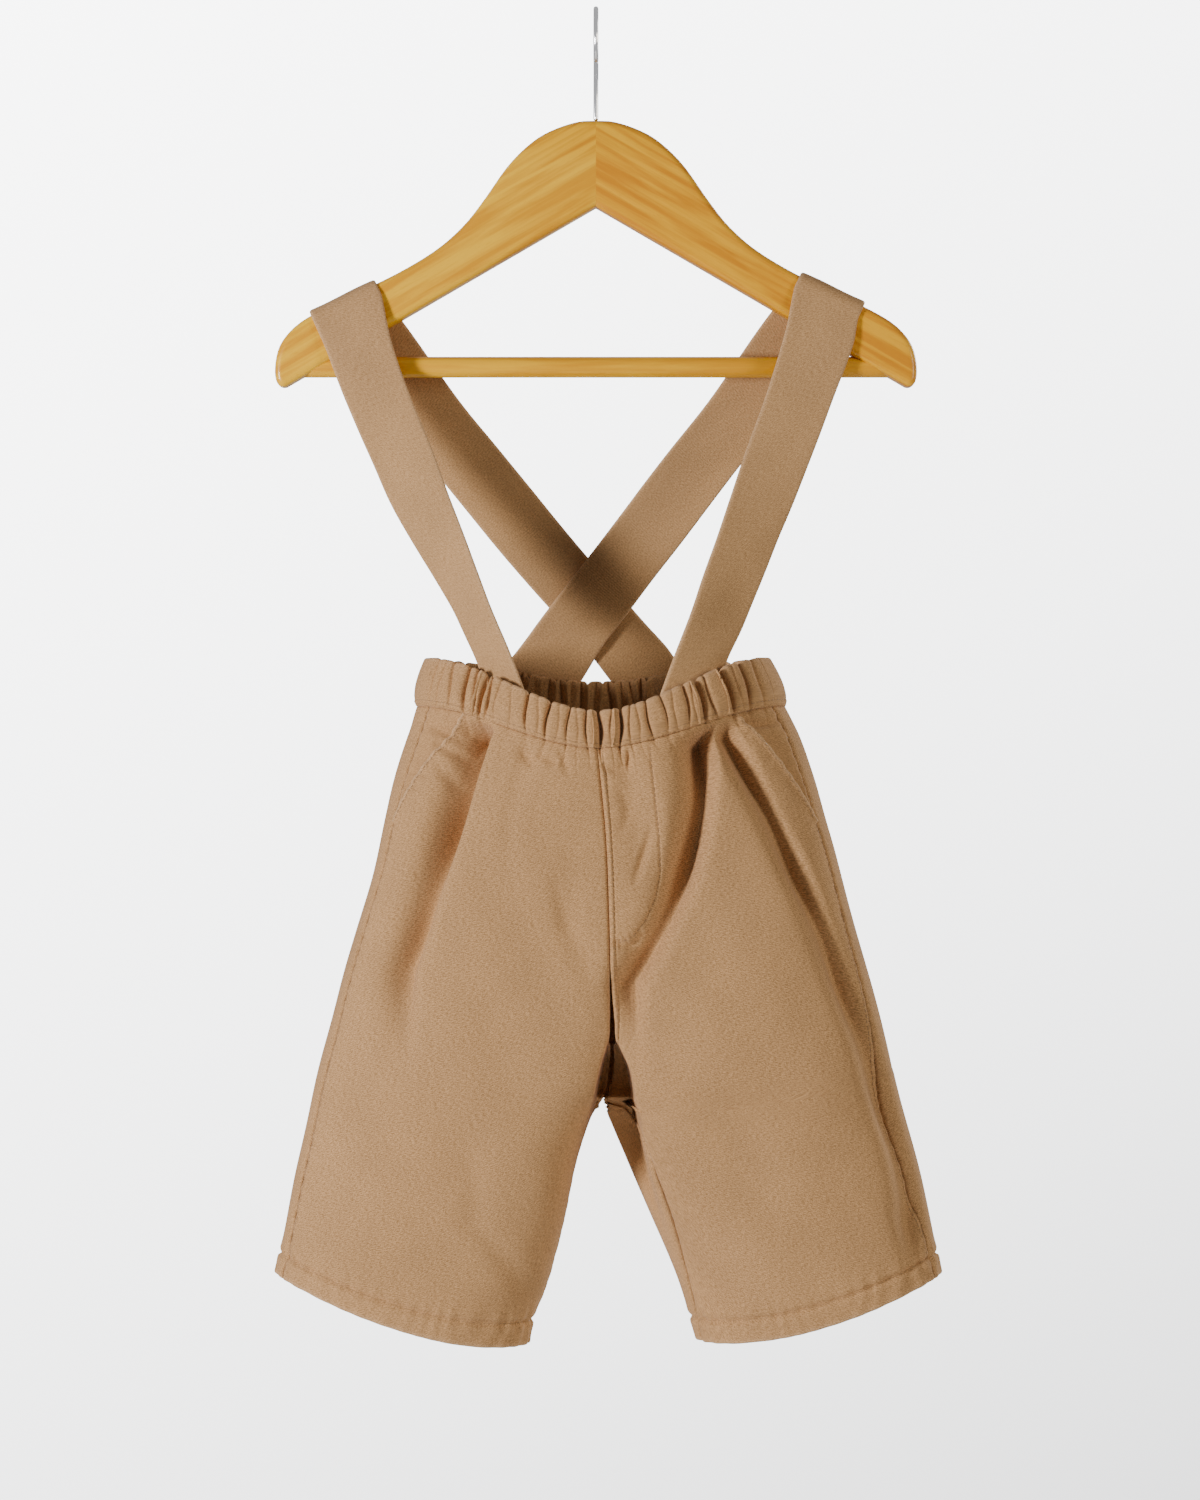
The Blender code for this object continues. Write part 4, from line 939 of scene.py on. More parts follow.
def twill_panel(name, leg, face, columns, rows, sewing, replaced):
    """One leg panel of cloth. Its sewing is a function that gives the pushes beside its seams."""
    falls, insets = panel_rows(rows)
    shares = np.linspace(0.0, 1.0, columns)
    if face == "front":
        starts = pocket_edge_turn(falls)
        ends = inner_seam_turn(leg, falls)
    else:
        starts = 0 * falls + SIDE_SEAM_TURN
        ends = inner_seam_turn(leg, falls) - 4.0
    turns = mix(starts[:, None], ends[:, None], shares[None, :])
    wrapped = wrap_turn(turns)
    fall = np.broadcast_to(falls[:, None], turns.shape)
    base = soften(smooth_points(leg, wrapped, fall), wrapped, fall)
    ways_out = outward(leg, wrapped, fall)
    across = steps_between(base, 1)
    from_end = across[:, -1:] - across
    down = steps_between(base, 0)
    hem = LEG_LENGTH * (1.0 - fall)
    front = wrapped >= 0
    folded, aside = fold_push(base, front)
    push = folded * smooth_step(fall / FOLD_START_FALL) + crease_push(base, front)
    waist = waist_distance(leg, face, np.where(abs(wrapped) > 2, np.sign(wrapped) * 2, wrapped))
    gathered = gather_depth(face, waist, -down / BAND_HEIGHT)
    push += PANEL_SHARE * gathered * bump(down, GATHER_REACH)
    push += wobble(base) * smooth_step(down / WOBBLE_START)
    push += sewing(base, across, from_end, down, hem, fall)
    turned_up = insets[:, None] > 2 * HEM_FOLD_RADIUS - 0.01
    inside = insets[:, None] + push * (1 - TURNED_UP_LOSS * turned_up)
    points = base - ways_out * inside[..., None]
    points[..., 0] -= aside * smooth_step(fall / FOLD_START_FALL)
    sink_notch(leg, points, front)
    peak = np.array([np.interp(1.0, np.sort(abs(row)), cut[np.argsort(abs(row))])
                     for row, cut in zip(turns, across)])
    uv = np.stack([across - peak[:, None], -down], axis=-1)
    wear = HEM_WEAR * bump(hem, HEM_WEAR_WIDTH)
    if face == "front":
        wear += EDGE_WEAR * bump(across, EDGE_WEAR_WIDTH) * (fall < POCKET_FALL)
    obj = lay_grid(name, points, uv, wear)
    face_out(obj, points, ways_out)
    thicken(obj, CLOTH)
    finish_piece(obj, PANEL_TWILL, "shorts_twill", replaced)
    return Sewn(points, surface_normals(points) * leg.sign * -1, across, from_end, down)


# %% [markdown]
# The left front has a plain seam in the middle. The right front carries the mock fly: the seam's
# two layers stand up beside it as a narrow welt, and a J-shaped row of stitches holds a facing
# behind it. The route of the J is a short list of places, seen from the front.

# %% Sewing of the panels
WELT_WIDTH = 2.0
EDGE_ROW = 1.4
SEAM_ROW = 1.6
HEM_ROW_DEPTH = 1.5
HEM_ROW_WIDTH = 0.9
HEM_FULLNESS = 0.3
SIDE_SEAM_SHARE = 0.6
POCKET_EDGE_RISE = 0.8
WELT_RISE = 0.5
FLY_SINK = 0.12
UNDER_BAND_REACH = 9.0
HEM_ROW_RIPPLE = Ripple(0.42, 8.3, 5.0)
HEM_EDGE_RIPPLE = Ripple(0.34, 9.7, 6.0)
POCKET_RIPPLE = Ripple(0.3, 6.5, 4.5)
SIDE_RIPPLE = Ripple(0.22, 8.0, 5.0)
MIDDLE_RIPPLE = Ripple(0.2, 9.0, 4.0)
FLY_RIPPLE = Ripple(0.22, 8.5, 3.5)
FLY_STITCH = (
    (24.7, -344.0), (25.4, -352.0), (26.6, -364.0), (28.2, -378.0), (29.3, -392.0), (29.4, -403.0),
    (27.2, -414.0), (22.8, -424.0), (17.4, -431.0), (11.8, -434.0), (7.6, -434.5),
)


def sew_hem(across, hem):
    """The groove of the hem's stitches, the fuller double layer below it and its puckers."""
    push = HEM_ROW_DEPTH * bump(hem - HEM_HEIGHT, HEM_ROW_WIDTH)
    push -= HEM_FULLNESS * smooth_step((HEM_HEIGHT - hem) / 2.5)
    push += pucker(hem - HEM_HEIGHT, across, HEM_ROW_RIPPLE)
    push += pucker(hem, across + 3.0, HEM_EDGE_RIPPLE)
    return push


def sew_front(base, across, from_end, down, hem, fall):
    pocket = fall < POCKET_FALL
    push = pocket * stitch_groove(across - EDGE_ROW)
    edge = smooth_step((EDGE_ROW + 1.5 - across) / 2.0)
    push -= pocket * POCKET_EDGE_RISE * edge * smooth_step(down / UNDER_BAND_REACH)
    push += pocket * pucker(across - EDGE_ROW, down, POCKET_RIPPLE)
    push += ~pocket * SIDE_SEAM_SHARE * seam_crease(across)
    push += pucker(across - SEAM_ROW, down, SIDE_RIPPLE)
    push += seam_crease(from_end)
    push += pucker(from_end - WELT_WIDTH, down, MIDDLE_RIPPLE)
    push += sew_hem(across, hem)
    return push


def sew_right_front(base, across, from_end, down, hem, fall):
    push = sew_front(base, across, from_end, down, hem, fall)
    rise = fall < CROTCH_FALL
    push -= rise * WELT_RISE * smooth_step((WELT_WIDTH + 0.6 - from_end) / 0.8)
    push += rise * stitch_groove(from_end - WELT_WIDTH - 0.4)
    gap, share = near_route(base, FLY_STITCH)
    inside = smooth_step((0.9 - gap) / 1.2) * (share < 0.99)
    push += stitch_groove(gap) * 1.3 + FLY_SINK * inside
    push += pucker(gap, 150 * share, FLY_RIPPLE)
    return push


def sew_back(base, across, from_end, down, hem, fall):
    push = SIDE_SEAM_SHARE * seam_crease(across) + seam_crease(from_end)
    push += pucker(across - SEAM_ROW, down, SIDE_RIPPLE)
    push += pucker(from_end - WELT_WIDTH, down, MIDDLE_RIPPLE)
    push += stitch_groove(from_end - WELT_WIDTH) * (fall < CROTCH_FALL)
    push += sew_hem(across, hem)
    return push


# %% Cut the panels
FRONT_COLUMNS, FRONT_ROWS = 164, 275
BACK_COLUMNS, BACK_ROWS = 120, 215
front_left = twill_panel("twill_front_left", LEFT, "front", FRONT_COLUMNS, FRONT_ROWS, sew_front,
                         "front_panel_left")
front_right = twill_panel("twill_front_right", RIGHT, "front", FRONT_COLUMNS, FRONT_ROWS,
                          sew_right_front, "front_panel_right")
back_left = twill_panel("twill_back_left", LEFT, "back", BACK_COLUMNS, BACK_ROWS, sew_back,
                        "back_panel_left")
back_right = twill_panel("twill_back_right", RIGHT, "back", BACK_COLUMNS, BACK_ROWS, sew_back,
                         "back_panel_right")

# %% [markdown]
# ## Pocket facings and the fly facing
#
# Behind each slanted edge a facing fills the corner up to the side seam. It slips under the edge,
# so its grid sinks by one layer there. The fly facing lies inside the right front and is held by
# the J-shaped row.

# %% Facings
FACING_COLUMNS, FACING_ROWS = 40, 60
UNDER_EDGE = 2.0
UNDER_BAND = 1.1
FACING_REACH = 0.08
FACING_RIPPLE = Ripple(0.25, 6.0, 5.0)
SIDE_DIP = 0.7
SIDE_DIP_WIDTH = 0.8
SIDE_WEAR = 0.4
FLY_TOP_FALL = 0.004
FLY_FALL = 0.375
FLY_CURVE_FALL = 0.26
FLY_WIDTH_TURN = 0.74
FLY_UNDER = 2.3
FLY_COLUMNS, FLY_ROWS = 24, 50


def lay_facing(name, base, ways_out, push, wear, replaced):
    """The cloth of a facing, with its width and length in metres."""
    across = steps_between(base, 1)
    down = steps_between(base, 0)
    points = base - ways_out * push[..., None]
    obj = lay_grid(name, points, np.stack([across, -down], axis=-1), wear)
    face_out(obj, points, ways_out)
    thicken(obj, CLOTH)
    finish_piece(obj, INSIDE_TWILL, "shorts_twill", replaced)
    print(name, "is cut", round(across.max()), "x", round(down.max()), "mm")
    return obj, across.max() * MM, down.max() * MM


def pocket_facing(name, leg, replaced):
    falls = np.linspace(0.0, POCKET_FALL, FACING_ROWS)[:, None]
    shares = np.linspace(0.0, 1.0, FACING_COLUMNS)[None, :]
    slant = pocket_edge_turn(falls)
    turns = mix(SIDE_SEAM_TURN, slant + FACING_REACH, shares)
    fall = np.broadcast_to(falls, turns.shape)
    base = smooth_points(leg, turns, fall)
    across = steps_between(base, 1)
    down = steps_between(base, 0)
    nearness = smooth_step((turns - SIDE_SEAM_TURN) / np.maximum(slant - SIDE_SEAM_TURN, 0.01))
    sunk = mix(UNDER_BAND, UNDER_EDGE, smooth_step(down / UNDER_BAND_REACH)) * nearness
    gathered = gather_depth("front", waist_distance(leg, "front", turns), -down / BAND_HEIGHT)
    front = turns >= 0
    push = sunk + fold_push(base, front)[0] * smooth_step(fall / FOLD_START_FALL)
    push += crease_push(base, front)
    push += PANEL_SHARE * gathered * bump(down, GATHER_REACH)
    dip = SIDE_DIP * bump(across, SIDE_DIP_WIDTH)
    push += wobble(base) * smooth_step(down / WOBBLE_START) + dip
    push += pucker(across, down, FACING_RIPPLE)
    wear = SIDE_WEAR * bump(across, EDGE_WEAR_WIDTH)
    obj, width, length = lay_facing(name, base, outward(leg, turns, fall), push, wear, replaced)


def fly_facing(name, leg, replaced):
    falls = np.linspace(FLY_TOP_FALL, FLY_FALL, FLY_ROWS)[:, None]
    below = np.maximum(falls - FLY_CURVE_FALL, 0.0) / (FLY_FALL - FLY_CURVE_FALL)
    width = FLY_WIDTH_TURN * np.sqrt(np.maximum(1 - below * below, 0.02))
    turns = 2.0 - width * np.linspace(0.0, 1.0, FLY_COLUMNS)[None, :]
    fall = np.broadcast_to(falls, turns.shape)
    base = smooth_points(leg, turns, fall)
    push = FLY_UNDER + fold_push(base, turns >= 0)[0] * smooth_step(fall / FOLD_START_FALL)
    obj, width, length = lay_facing(name, base, outward(leg, turns, fall), push, 0 * fall, replaced)


pocket_facing("twill_pocket_left", LEFT, "pocket_facing_left")
pocket_facing("twill_pocket_right", RIGHT, "pocket_facing_right")
fly_facing("twill_fly", RIGHT, "fly_facing")

# %% [markdown]
# ## Waistband
#
# The casing goes round as one tube of cloth with elastic in it, so in section it is a closed loop:
# up the outside, over the top and down the inside. Rows of that loop run along the waist, and the
# gathers push its outside in. Their puffs also lift the top edge, which makes it uneven, as the
# photo shows.

# %% The waistband's form
BAND_TOP_SIDE_Z = -303.8
BAND_TOP_Z = {"front": -328.0, "back": -313.5}
BAND_TOP_DEPTH_SHARE = 43.5 / 44.0
BAND_PUFF = 1.0
BAND_HALF = 1.3
BAND_ROUNDING = 0.06
BAND_FOOT = 0.09
BAND_ROW = 0.12
BAND_ROW_DEPTH = 0.45
BAND_ROW_WIDTH = 0.7
GATHER_RELIEF = 1.2
RELIEF_AT_FOOT = 0.42
RELIEF_AT_TOP = 0.8
RELIEF_INSIDE = 0.45
TOP_WAVE = 0.028
INSIDE_SHARE = 0.55
HALF_PITCH = 3.2
BAND_WEAR = 0.3
OUTSIDE_ROWS, INSIDE_ROWS, ROUND_ROWS = 26, 10, 9


def band_points(leg, face, turn, height, offset):
    """Points of the waistband, from its seam at height 0 to its top at 1, moved out by an offset."""
    low = smooth_points(leg, turn, 0.0)
    side_x = along(leg.side, "x", 0.0)
    inner_x = middle(leg, face == "front", np.array(0.0))[0]
    share = (low[..., 0] - side_x) / (inner_x - side_x)
    top = np.stack([
        mix(leg.band_x, inner_x, share), low[..., 1] * BAND_TOP_DEPTH_SHARE,
        mix(BAND_TOP_SIDE_Z, BAND_TOP_Z[face], smooth_step(share)),
    ], axis=-1)
    height = np.broadcast_to(height, low[..., 0].shape)[..., None]
    puff = BAND_PUFF * np.sin(pi * np.clip(height, 0, 1))
    return mix(low, top, height) + outward(leg, turn, 0.0) * (np.asarray(offset)[..., None] + puff)


def band_section():
    """Heights and offsets of the casing's closed section, from the seam up and over."""
    top = 1.0 - BAND_ROUNDING
    up = np.linspace(0.0, top, OUTSIDE_ROWS)
    out = BAND_HALF * smooth_step(up / BAND_FOOT) * 0.9 + 0.1 * BAND_HALF
    angle = np.linspace(0.0, pi, ROUND_ROWS + 2)[1:-1]
    down = np.linspace(top, 0.0, INSIDE_ROWS)
    heights = np.concatenate([up, top + BAND_ROUNDING * np.sin(angle), down, [0.0]])
    offsets = np.concatenate([out, BAND_HALF * np.cos(angle), 0 * down - BAND_HALF, [out[0]]])
    return heights, offsets


def waistband(name, face, columns, replaced):
    left_turns, left_distances, _ = waist_table(LEFT, face)
    right_turns, right_distances, _ = waist_table(RIGHT, face)
    distance = np.linspace(-left_distances[-1], right_distances[-1], columns)
    heights, offsets = band_section()
    parts = []
    for leg, turns, distances in ((LEFT, left_turns, left_distances),
                                  (RIGHT, right_turns, right_distances)):
        here = distance[distance * leg.sign >= (0.0 if leg is RIGHT else 1e-9)]
        turn = np.interp(abs(here), distances, turns)
        height = heights[None, :] + 0 * here[:, None]
        depth = gather_depth(face, here[:, None], height)
        near = mix(RELIEF_AT_FOOT, 1.0, smooth_step(height * 2.2))
        near = near * mix(1.0, RELIEF_AT_TOP, height)
        relief = (GATHER_RELIEF - depth) * near
        outside = np.clip((offsets[None, :] + BAND_HALF) / (2 * BAND_HALF), 0, 1)
        tall = height + TOP_WAVE * relief * smooth_step((height - 0.6) / 0.4)
        moved = offsets[None, :] + relief * mix(RELIEF_INSIDE, 1.0, outside)
        row = bump((height - BAND_ROW) * BAND_HEIGHT, BAND_ROW_WIDTH)
        moved -= BAND_ROW_DEPTH * row * (outside > 0.6)
        behind = gather_depth(face, here[:, None] + HALF_PITCH, height)
        moved += INSIDE_SHARE * (1 - outside) * behind
        parts.append(band_points(leg, face, turn[:, None] + 0 * height, tall, moved))
    points = np.concatenate(parts, axis=0)
    across = steps_between(points, 0)
    round_it = steps_between(points, 1)
    uv = np.stack([across, round_it], axis=-1)
    wear = BAND_WEAR * bump((heights - 1.0) * BAND_HEIGHT, 2.0)[None, :] + 0 * across
    obj = lay_grid(name, points, uv, wear, ring=True)
    finish_piece(obj, PANEL_TWILL, "shorts_twill", replaced)
    print(name, "is", round(across.max()), "mm long with its gathers let out")
    return distance, heights, points


BAND_COLUMNS = 420
band_front = waistband("twill_band_front", "front", BAND_COLUMNS, "waistband_front")
band_back = waistband("twill_band_back", "back", BAND_COLUMNS, "waistband_back")

# %% [markdown]
# ## Straps
#
# Each strap is a flat tube of cloth, sewn and turned, 30 mm wide. It comes up inside the front of
# the waistband, goes over the hanger's arm and crosses to the other side of the back. Two edge
# lines give its route, and a ring of points between them its section with soft, rounded edges.

# %% The straps' routes
Edge = namedtuple("Edge", "outer_x outer_y outer_z inner_x inner_y inner_z bow", defaults=(0.0,))
LEFT_STRAP_FRONT = (
    Edge(-64.2, -13.5, -285.4, -45.9, -36.0, -286.3), Edge(-74.5, -11.0, -266.7, -53.3, -32.5, -267.7),
    Edge(-86.2, -10.5, -248.1, -59.9, -28.0, -249.1), Edge(-96.5, -10.2, -229.4, -67.2, -23.5, -230.4),
    Edge(-104.8, -10.0, -210.8, -74.8, -19.0, -209.2), Edge(-117.0, -9.6, -182.8, -86.4, -14.0, -181.0),
    Edge(-125.9, -9.0, -159.4, -95.5, -10.6, -154.9),
)
RIGHT_STRAP_FRONT = (
    Edge(69.6, -17.0, -285.6, 42.4, -33.5, -286.2), Edge(77.2, -15.0, -266.9, 48.8, -29.5, -267.6),
    Edge(84.8, -13.0, -248.2, 55.4, -25.5, -248.9), Edge(92.6, -12.0, -229.5, 61.8, -22.0, -230.2),
    Edge(100.0, -11.0, -210.8, 68.0, -18.5, -211.5), Edge(110.5, -10.0, -182.8, 79.0, -14.0, -181.0),
    Edge(120.0, -9.0, -157.0, 88.4, -10.6, -150.3),
)
LEFT_STRAP_BACK = (
    Edge(-127.0, 9.4, -157.0, -91.0, 9.6, -144.0), Edge(-105.9, 16.0, -180.5, -64.8, 15.4, -180.5),
    Edge(-81.2, 24.0, -208.3, -41.8, 23.4, -208.3), Edge(-50.6, 34.5, -245.7, -10.9, 34.5, -245.7),
    Edge(-34.5, 39.5, -264.6, 5.5, 39.5, -264.6), Edge(-17.3, 44.5, -283.6, 22.3, 44.5, -283.6),
    Edge(-5.6, 47.6, -296.6, 34.2, 47.4, -296.6),
)
RIGHT_STRAP_BACK = (
    Edge(119.0, 9.2, -154.0, 82.5, 9.4, -139.6), Edge(94.0, 14.0, -180.6, 53.6, 14.0, -180.6),
    Edge(70.6, 20.5, -208.4, 31.3, 20.5, -208.4), Edge(41.9, 29.5, -245.9, 2.6, 29.5, -245.9),
    Edge(27.2, 34.5, -264.7, -12.2, 34.5, -264.7), Edge(12.9, 39.5, -283.6, -26.9, 40.0, -283.6),
    Edge(3.0, 43.2, -296.6, -36.6, 43.6, -296.6),
)
Tuck = namedtuple("Tuck", "outer_low inner_low outer_top inner_top")
LEFT_FRONT_END = Tuck(0.62, 0.88, 0.53, 0.79)
RIGHT_FRONT_END = Tuck(0.56, 0.94, 0.47, 0.85)
LEFT_BACK_END = Tuck(-1.03, -0.54, -1.66, -0.72)
RIGHT_BACK_END = Tuck(-0.945, -0.5, -1.61, -0.67)
STRAP_TUCK_HEIGHTS = (0.12, 0.5, 0.95)
STRAP_CLOTH = 2.0
GAP_INSIDE = 1.6
GAP_OUTSIDE = 1.3
BAND_INSIDE = BAND_HALF + GAP_INSIDE + STRAP_CLOTH / 2
BAND_OUTSIDE = BAND_HALF + GAP_OUTSIDE + STRAP_CLOTH / 2

Profile = namedtuple("Profile", "out z")
ARM_TOP = (
    Profile(0.0, -51.6), Profile(8.0, -52.0), Profile(19.2, -55.5), Profile(29.1, -61.0),
    Profile(40.8, -72.2), Profile(52.7, -89.0), Profile(61.6, -100.3), Profile(74.0, -111.4),
    Profile(92.3, -122.6), Profile(115.0, -133.6), Profile(132.0, -142.0), Profile(141.5, -148.5),
    Profile(148.0, -157.0), Profile(150.2, -167.0), Profile(149.2, -174.2),
)
ARM_THICK = 13.0
ARM_GAP = 0.3
STRAP_WRAP_ROWS = 9
STRAP_LIFT = 1.9
STRAP_SLANT = 0.45
STRAP_WRAP_SQUARENESS = 0.77
LEFT_STRAP_FOLD_X = (-134.0, -103.4)
RIGHT_STRAP_FOLD_X = (125.9, 96.0)


def band_edge(leg, face, tuck, height, offset):
    """A strap end's two edge points on the waistband, and how far it bows round with the band."""
    outer_turn = mix(tuck.outer_low, tuck.outer_top, height)
    inner_turn = mix(tuck.inner_low, tuck.inner_top, height)
    turns = np.array([outer_turn, (outer_turn + inner_turn) / 2, inner_turn])
    outer, centre, inner = band_points(leg, face, turns, height, 0 * turns + offset)
    bow = (centre - (outer + inner) / 2) @ outward(leg, turns[1], 0.0)
    return Edge(*outer, *inner, bow)


def wrap_rows(fold_x):
    """The strap's rows over the arm, from its front to its back."""
    radius = ARM_THICK / 2 + ARM_GAP + STRAP_CLOTH / 2
    rows = []
    for angle in np.linspace(0.0, pi, STRAP_WRAP_ROWS):
        side = 1 if angle < pi / 2 else -1
        y = -radius * side * abs(np.cos(angle)) ** STRAP_WRAP_SQUARENESS
        lift = radius * (abs(np.sin(angle)) ** STRAP_WRAP_SQUARENESS - 1) + STRAP_LIFT
        drop = STRAP_SLANT * (STRAP_LIFT - lift)
        ends = [(x - np.sign(x) * drop, y, along(ARM_TOP, "z", abs(x)) + lift) for x in fold_x]
        rows.append(Edge(*ends[0], *ends[1]))
    return rows


def strap_rows(front_leg, front_end, front, fold_x, back, back_leg, back_end):
    rows = [band_edge(front_leg, "front", front_end, h, -BAND_INSIDE) for h in STRAP_TUCK_HEIGHTS]
    rows += front
    rows += wrap_rows(fold_x)
    rows += back
    rows += [band_edge(back_leg, "back", back_end, h, BAND_OUTSIDE)
             for h in reversed(STRAP_TUCK_HEIGHTS)]
    return rows


# %% [markdown]
# A strap's cloth is a ring of points round each place of its route. The ring is thickest in the
# middle, thins out at both edges and bows with the band where it is sewn in. Slight ripples keep it
# from looking like a board.

# %% The straps' cloth
STRAP_WIDTH = 30.0
STRAP_WEAR = 0.5
STRAP_WEAR_WIDTH = 0.9
STRAP_SPACING = 1.5
STRAP_ACROSS = 22
STRAP_EDGE_ROUNDING = 0.045


def fine_edges(rows):
    """Both edge lines and the bow at an even spacing, on smooth curves through the rows."""
    centres = np.array([(np.array(row[:3], float) + np.array(row[3:6], float)) / 2 for row in rows])
    lengths = lengths_along(centres)
    Place = namedtuple("Place", ("length",) + Edge._fields)
    places = [Place(length, *row) for length, row in zip(lengths, rows)]
    at = np.linspace(0.0, lengths[-1], ceil(lengths[-1] / STRAP_SPACING))
    table = np.stack([along(places, field, at) for field in Edge._fields], axis=-1)
    return at, table[:, :3], table[:, 3:6], table[:, 6]


def twill_strap(name, rows, curl, replaced):
    at, outer, inner, bow = fine_edges(rows)
    side = np.linspace(0.0, pi, STRAP_ACROSS)
    u = np.concatenate([(1 - np.cos(side)) / 2, (1 + np.cos(side[1:])) / 2])
    top = np.concatenate([0 * side + 1.0, 0 * side[1:] - 1.0])
    centre = outer[:, None] + (inner - outer)[:, None] * u[None, :, None]
    down = np.gradient(outer, axis=0)[:, None] * (1 - u)[None, :, None]
    down = down + np.gradient(inner, axis=0)[:, None] * u[None, :, None]
    out = unit(np.cross((inner - outer)[:, None] + 0 * down, down)) * curl
    rim = np.clip(np.minimum(u, 1 - u) / STRAP_EDGE_ROUNDING, 0, 1)
    half = STRAP_CLOTH / 2 * np.sqrt(np.clip(1 - (1 - rim) ** 2, 0, 1)) * top
    ripple = 0.22 * np.sin(at / 13.0)[:, None] * np.sin(2 * pi * u)[None, :]
    ripple = ripple + 0.16 * np.sin(at / 5.7 + 1.0)[:, None] * np.cos(3.0 * u)[None, :]
    lift = half[None, :] + (bow[:, None] * 4 * (u * (1 - u))[None, :]) + ripple
    points = centre + out * lift[..., None]
    width = np.linalg.norm(inner - outer, axis=1)[:, None]
    uv = np.stack([width * u[None, :] + 60 * (top[None, :] < 0), -at[:, None] + 0 * lift], axis=-1)
    from_edge = np.minimum(u, 1 - u) * STRAP_WIDTH
    wear = STRAP_WEAR * bump(from_edge, STRAP_WEAR_WIDTH)[None, :] + 0 * lift
    obj = lay_grid(name, points, uv, wear, ring=True)
    finish_piece(obj, STRAP_TWILL, "strap_twill", replaced)
    print(name, "is", round(at[-1]), "mm long between its sewn ends")


left_rows = strap_rows(LEFT, LEFT_FRONT_END, list(LEFT_STRAP_FRONT), LEFT_STRAP_FOLD_X,
                       list(LEFT_STRAP_BACK), RIGHT, LEFT_BACK_END)
right_rows = strap_rows(RIGHT, RIGHT_FRONT_END, list(RIGHT_STRAP_FRONT), RIGHT_STRAP_FOLD_X,
                        list(RIGHT_STRAP_BACK), LEFT, RIGHT_BACK_END)
twill_strap("twill_strap_left", left_rows, 1, "strap_left")
twill_strap("twill_strap_right", right_rows, -1, "strap_right")

# %% [markdown]
# ## Stitches
#
# Thread is a small capsule for each stitch, half sunk in its groove. Hundreds of small capsules
# stay light when each has a few dozen faces and they share one mesh for each seam.

# %% Thread
STITCH_LENGTH = 2.1
STITCH_PITCH = 2.7
THREAD = 0.42
LOOK_AHEAD = 0.4


def thread_material(name, color):
    material, tree, shader = new_material(name, Sheen_Weight=0.2)
    place = tree.nodes.new("ShaderNodeTexCoord")
    fibre = add_node(tree, "ShaderNodeTexNoise", Vector=place.outputs["Object"], Scale=2600.0,
                     Detail=2.0).outputs["Fac"]
    dark = tuple(0.7 * value for value in color)
    tone = mix_colors(tree, map_range(tree, fibre), (*dark, 1.0), (*color, 1.0))
    rough = map_range(tree, fibre, to_low=0.55, to_high=0.8)
    set_inputs(tree, shader, Base_Color=tone, Roughness=rough)
    return material


# The thread's own tan is darkened here: painted shade of the grooves that it lies in.
TAN_THREAD_WITH_PAINTED_SHADE = thread_material("tan thread with painted shade", (0.36, 0.2, 0.085))


def even_places(line, pitch):
    """Points, ways ahead and normals at an even spacing along a line of points and normals."""
    points, normals = line
    lengths = lengths_along(points)
    at = np.arange(pitch / 2, lengths[-1] - pitch / 4, pitch)
    ahead = places_at(at + LOOK_AHEAD, lengths, points)
    back = places_at(at - LOOK_AHEAD, lengths, points)
    ways = unit(places_at(at, lengths, normals))
    return places_at(at, lengths, points), unit(ahead - back + 1e-9), ways


def stitch_shape():
    """One stitch as a small ball, to be stretched along the thread: its points and its faces."""
    bm = bmesh.new()
    bmesh.ops.create_uvsphere(bm, u_segments=6, v_segments=5, radius=0.5)
    points = np.array([vert.co for vert in bm.verts])
    faces = [[vert.index for vert in face.verts] for face in bm.faces]
    bm.free()
    return points, faces


def sew(name, lines):
    """All the stitches of some lines, as one piece."""
    ball, faces = stitch_shape()
    rows = [even_places(line, STITCH_PITCH) for line in lines]
    spots, ahead, ways = (np.concatenate(part) for part in zip(*rows))
    sides = np.cross(ways, ahead)
    x, y, z = (ball[None, :, i, None] for i in range(3))
    places = spots[:, None] + z * STITCH_LENGTH * ahead[:, None] + x * THREAD * sides[:, None]
    places = places + y * THREAD * ways[:, None]
    count = len(ball)
    every = [[i + n * count for i in face] for n in range(len(spots)) for face in faces]
    mesh = bpy.data.meshes.new(name)
    mesh.from_pydata((places.reshape(-1, 3) * MM).tolist(), [], every)
    bm = bmesh.new()
    bm.from_mesh(mesh)
    bmesh.ops.recalc_face_normals(bm, faces=bm.faces)
    bm.to_mesh(mesh)
    bm.free()
    mesh.shade_smooth()
    finish_piece(place_object(name, mesh), TAN_THREAD_WITH_PAINTED_SHADE, "shorts_twill")
    print(name, "has", len(spots), "stitches")


def line_across(sewn, distances, wanted, first, last):
    """The line on a panel where its rows reach a distance from an edge."""
    points, normals = [], []
    for row in range(first, last):
        order = np.argsort(distances[row])
        cut = distances[row][order]
        if not cut[0] <= wanted <= cut[-1]:
            continue
        points.append([np.interp(wanted, cut, sewn.points[row, order, i]) for i in range(3)])
        normals.append([np.interp(wanted, cut, sewn.normals[row, order, i]) for i in range(3)])
    return np.array(points), np.array(normals)


def line_along(sewn, row, first, last):
    """The line on a panel along one of its rows."""
    return sewn.points[row, first:last], sewn.normals[row, first:last]


# %% [markdown]
# A row of stitches follows a panel's own rows at the hem, and a distance from its edge elsewhere.
# The fly's J is laid on the cloth from its route.

# %% Rows of stitches on the panels
front_falls, _ = panel_rows(FRONT_ROWS)
back_falls, _ = panel_rows(BACK_ROWS)
HEM_ROW_FALL = 1.0 - HEM_HEIGHT / LEG_LENGTH


def last_row(falls, count, fall):
    return int(np.searchsorted(falls[:count], fall))


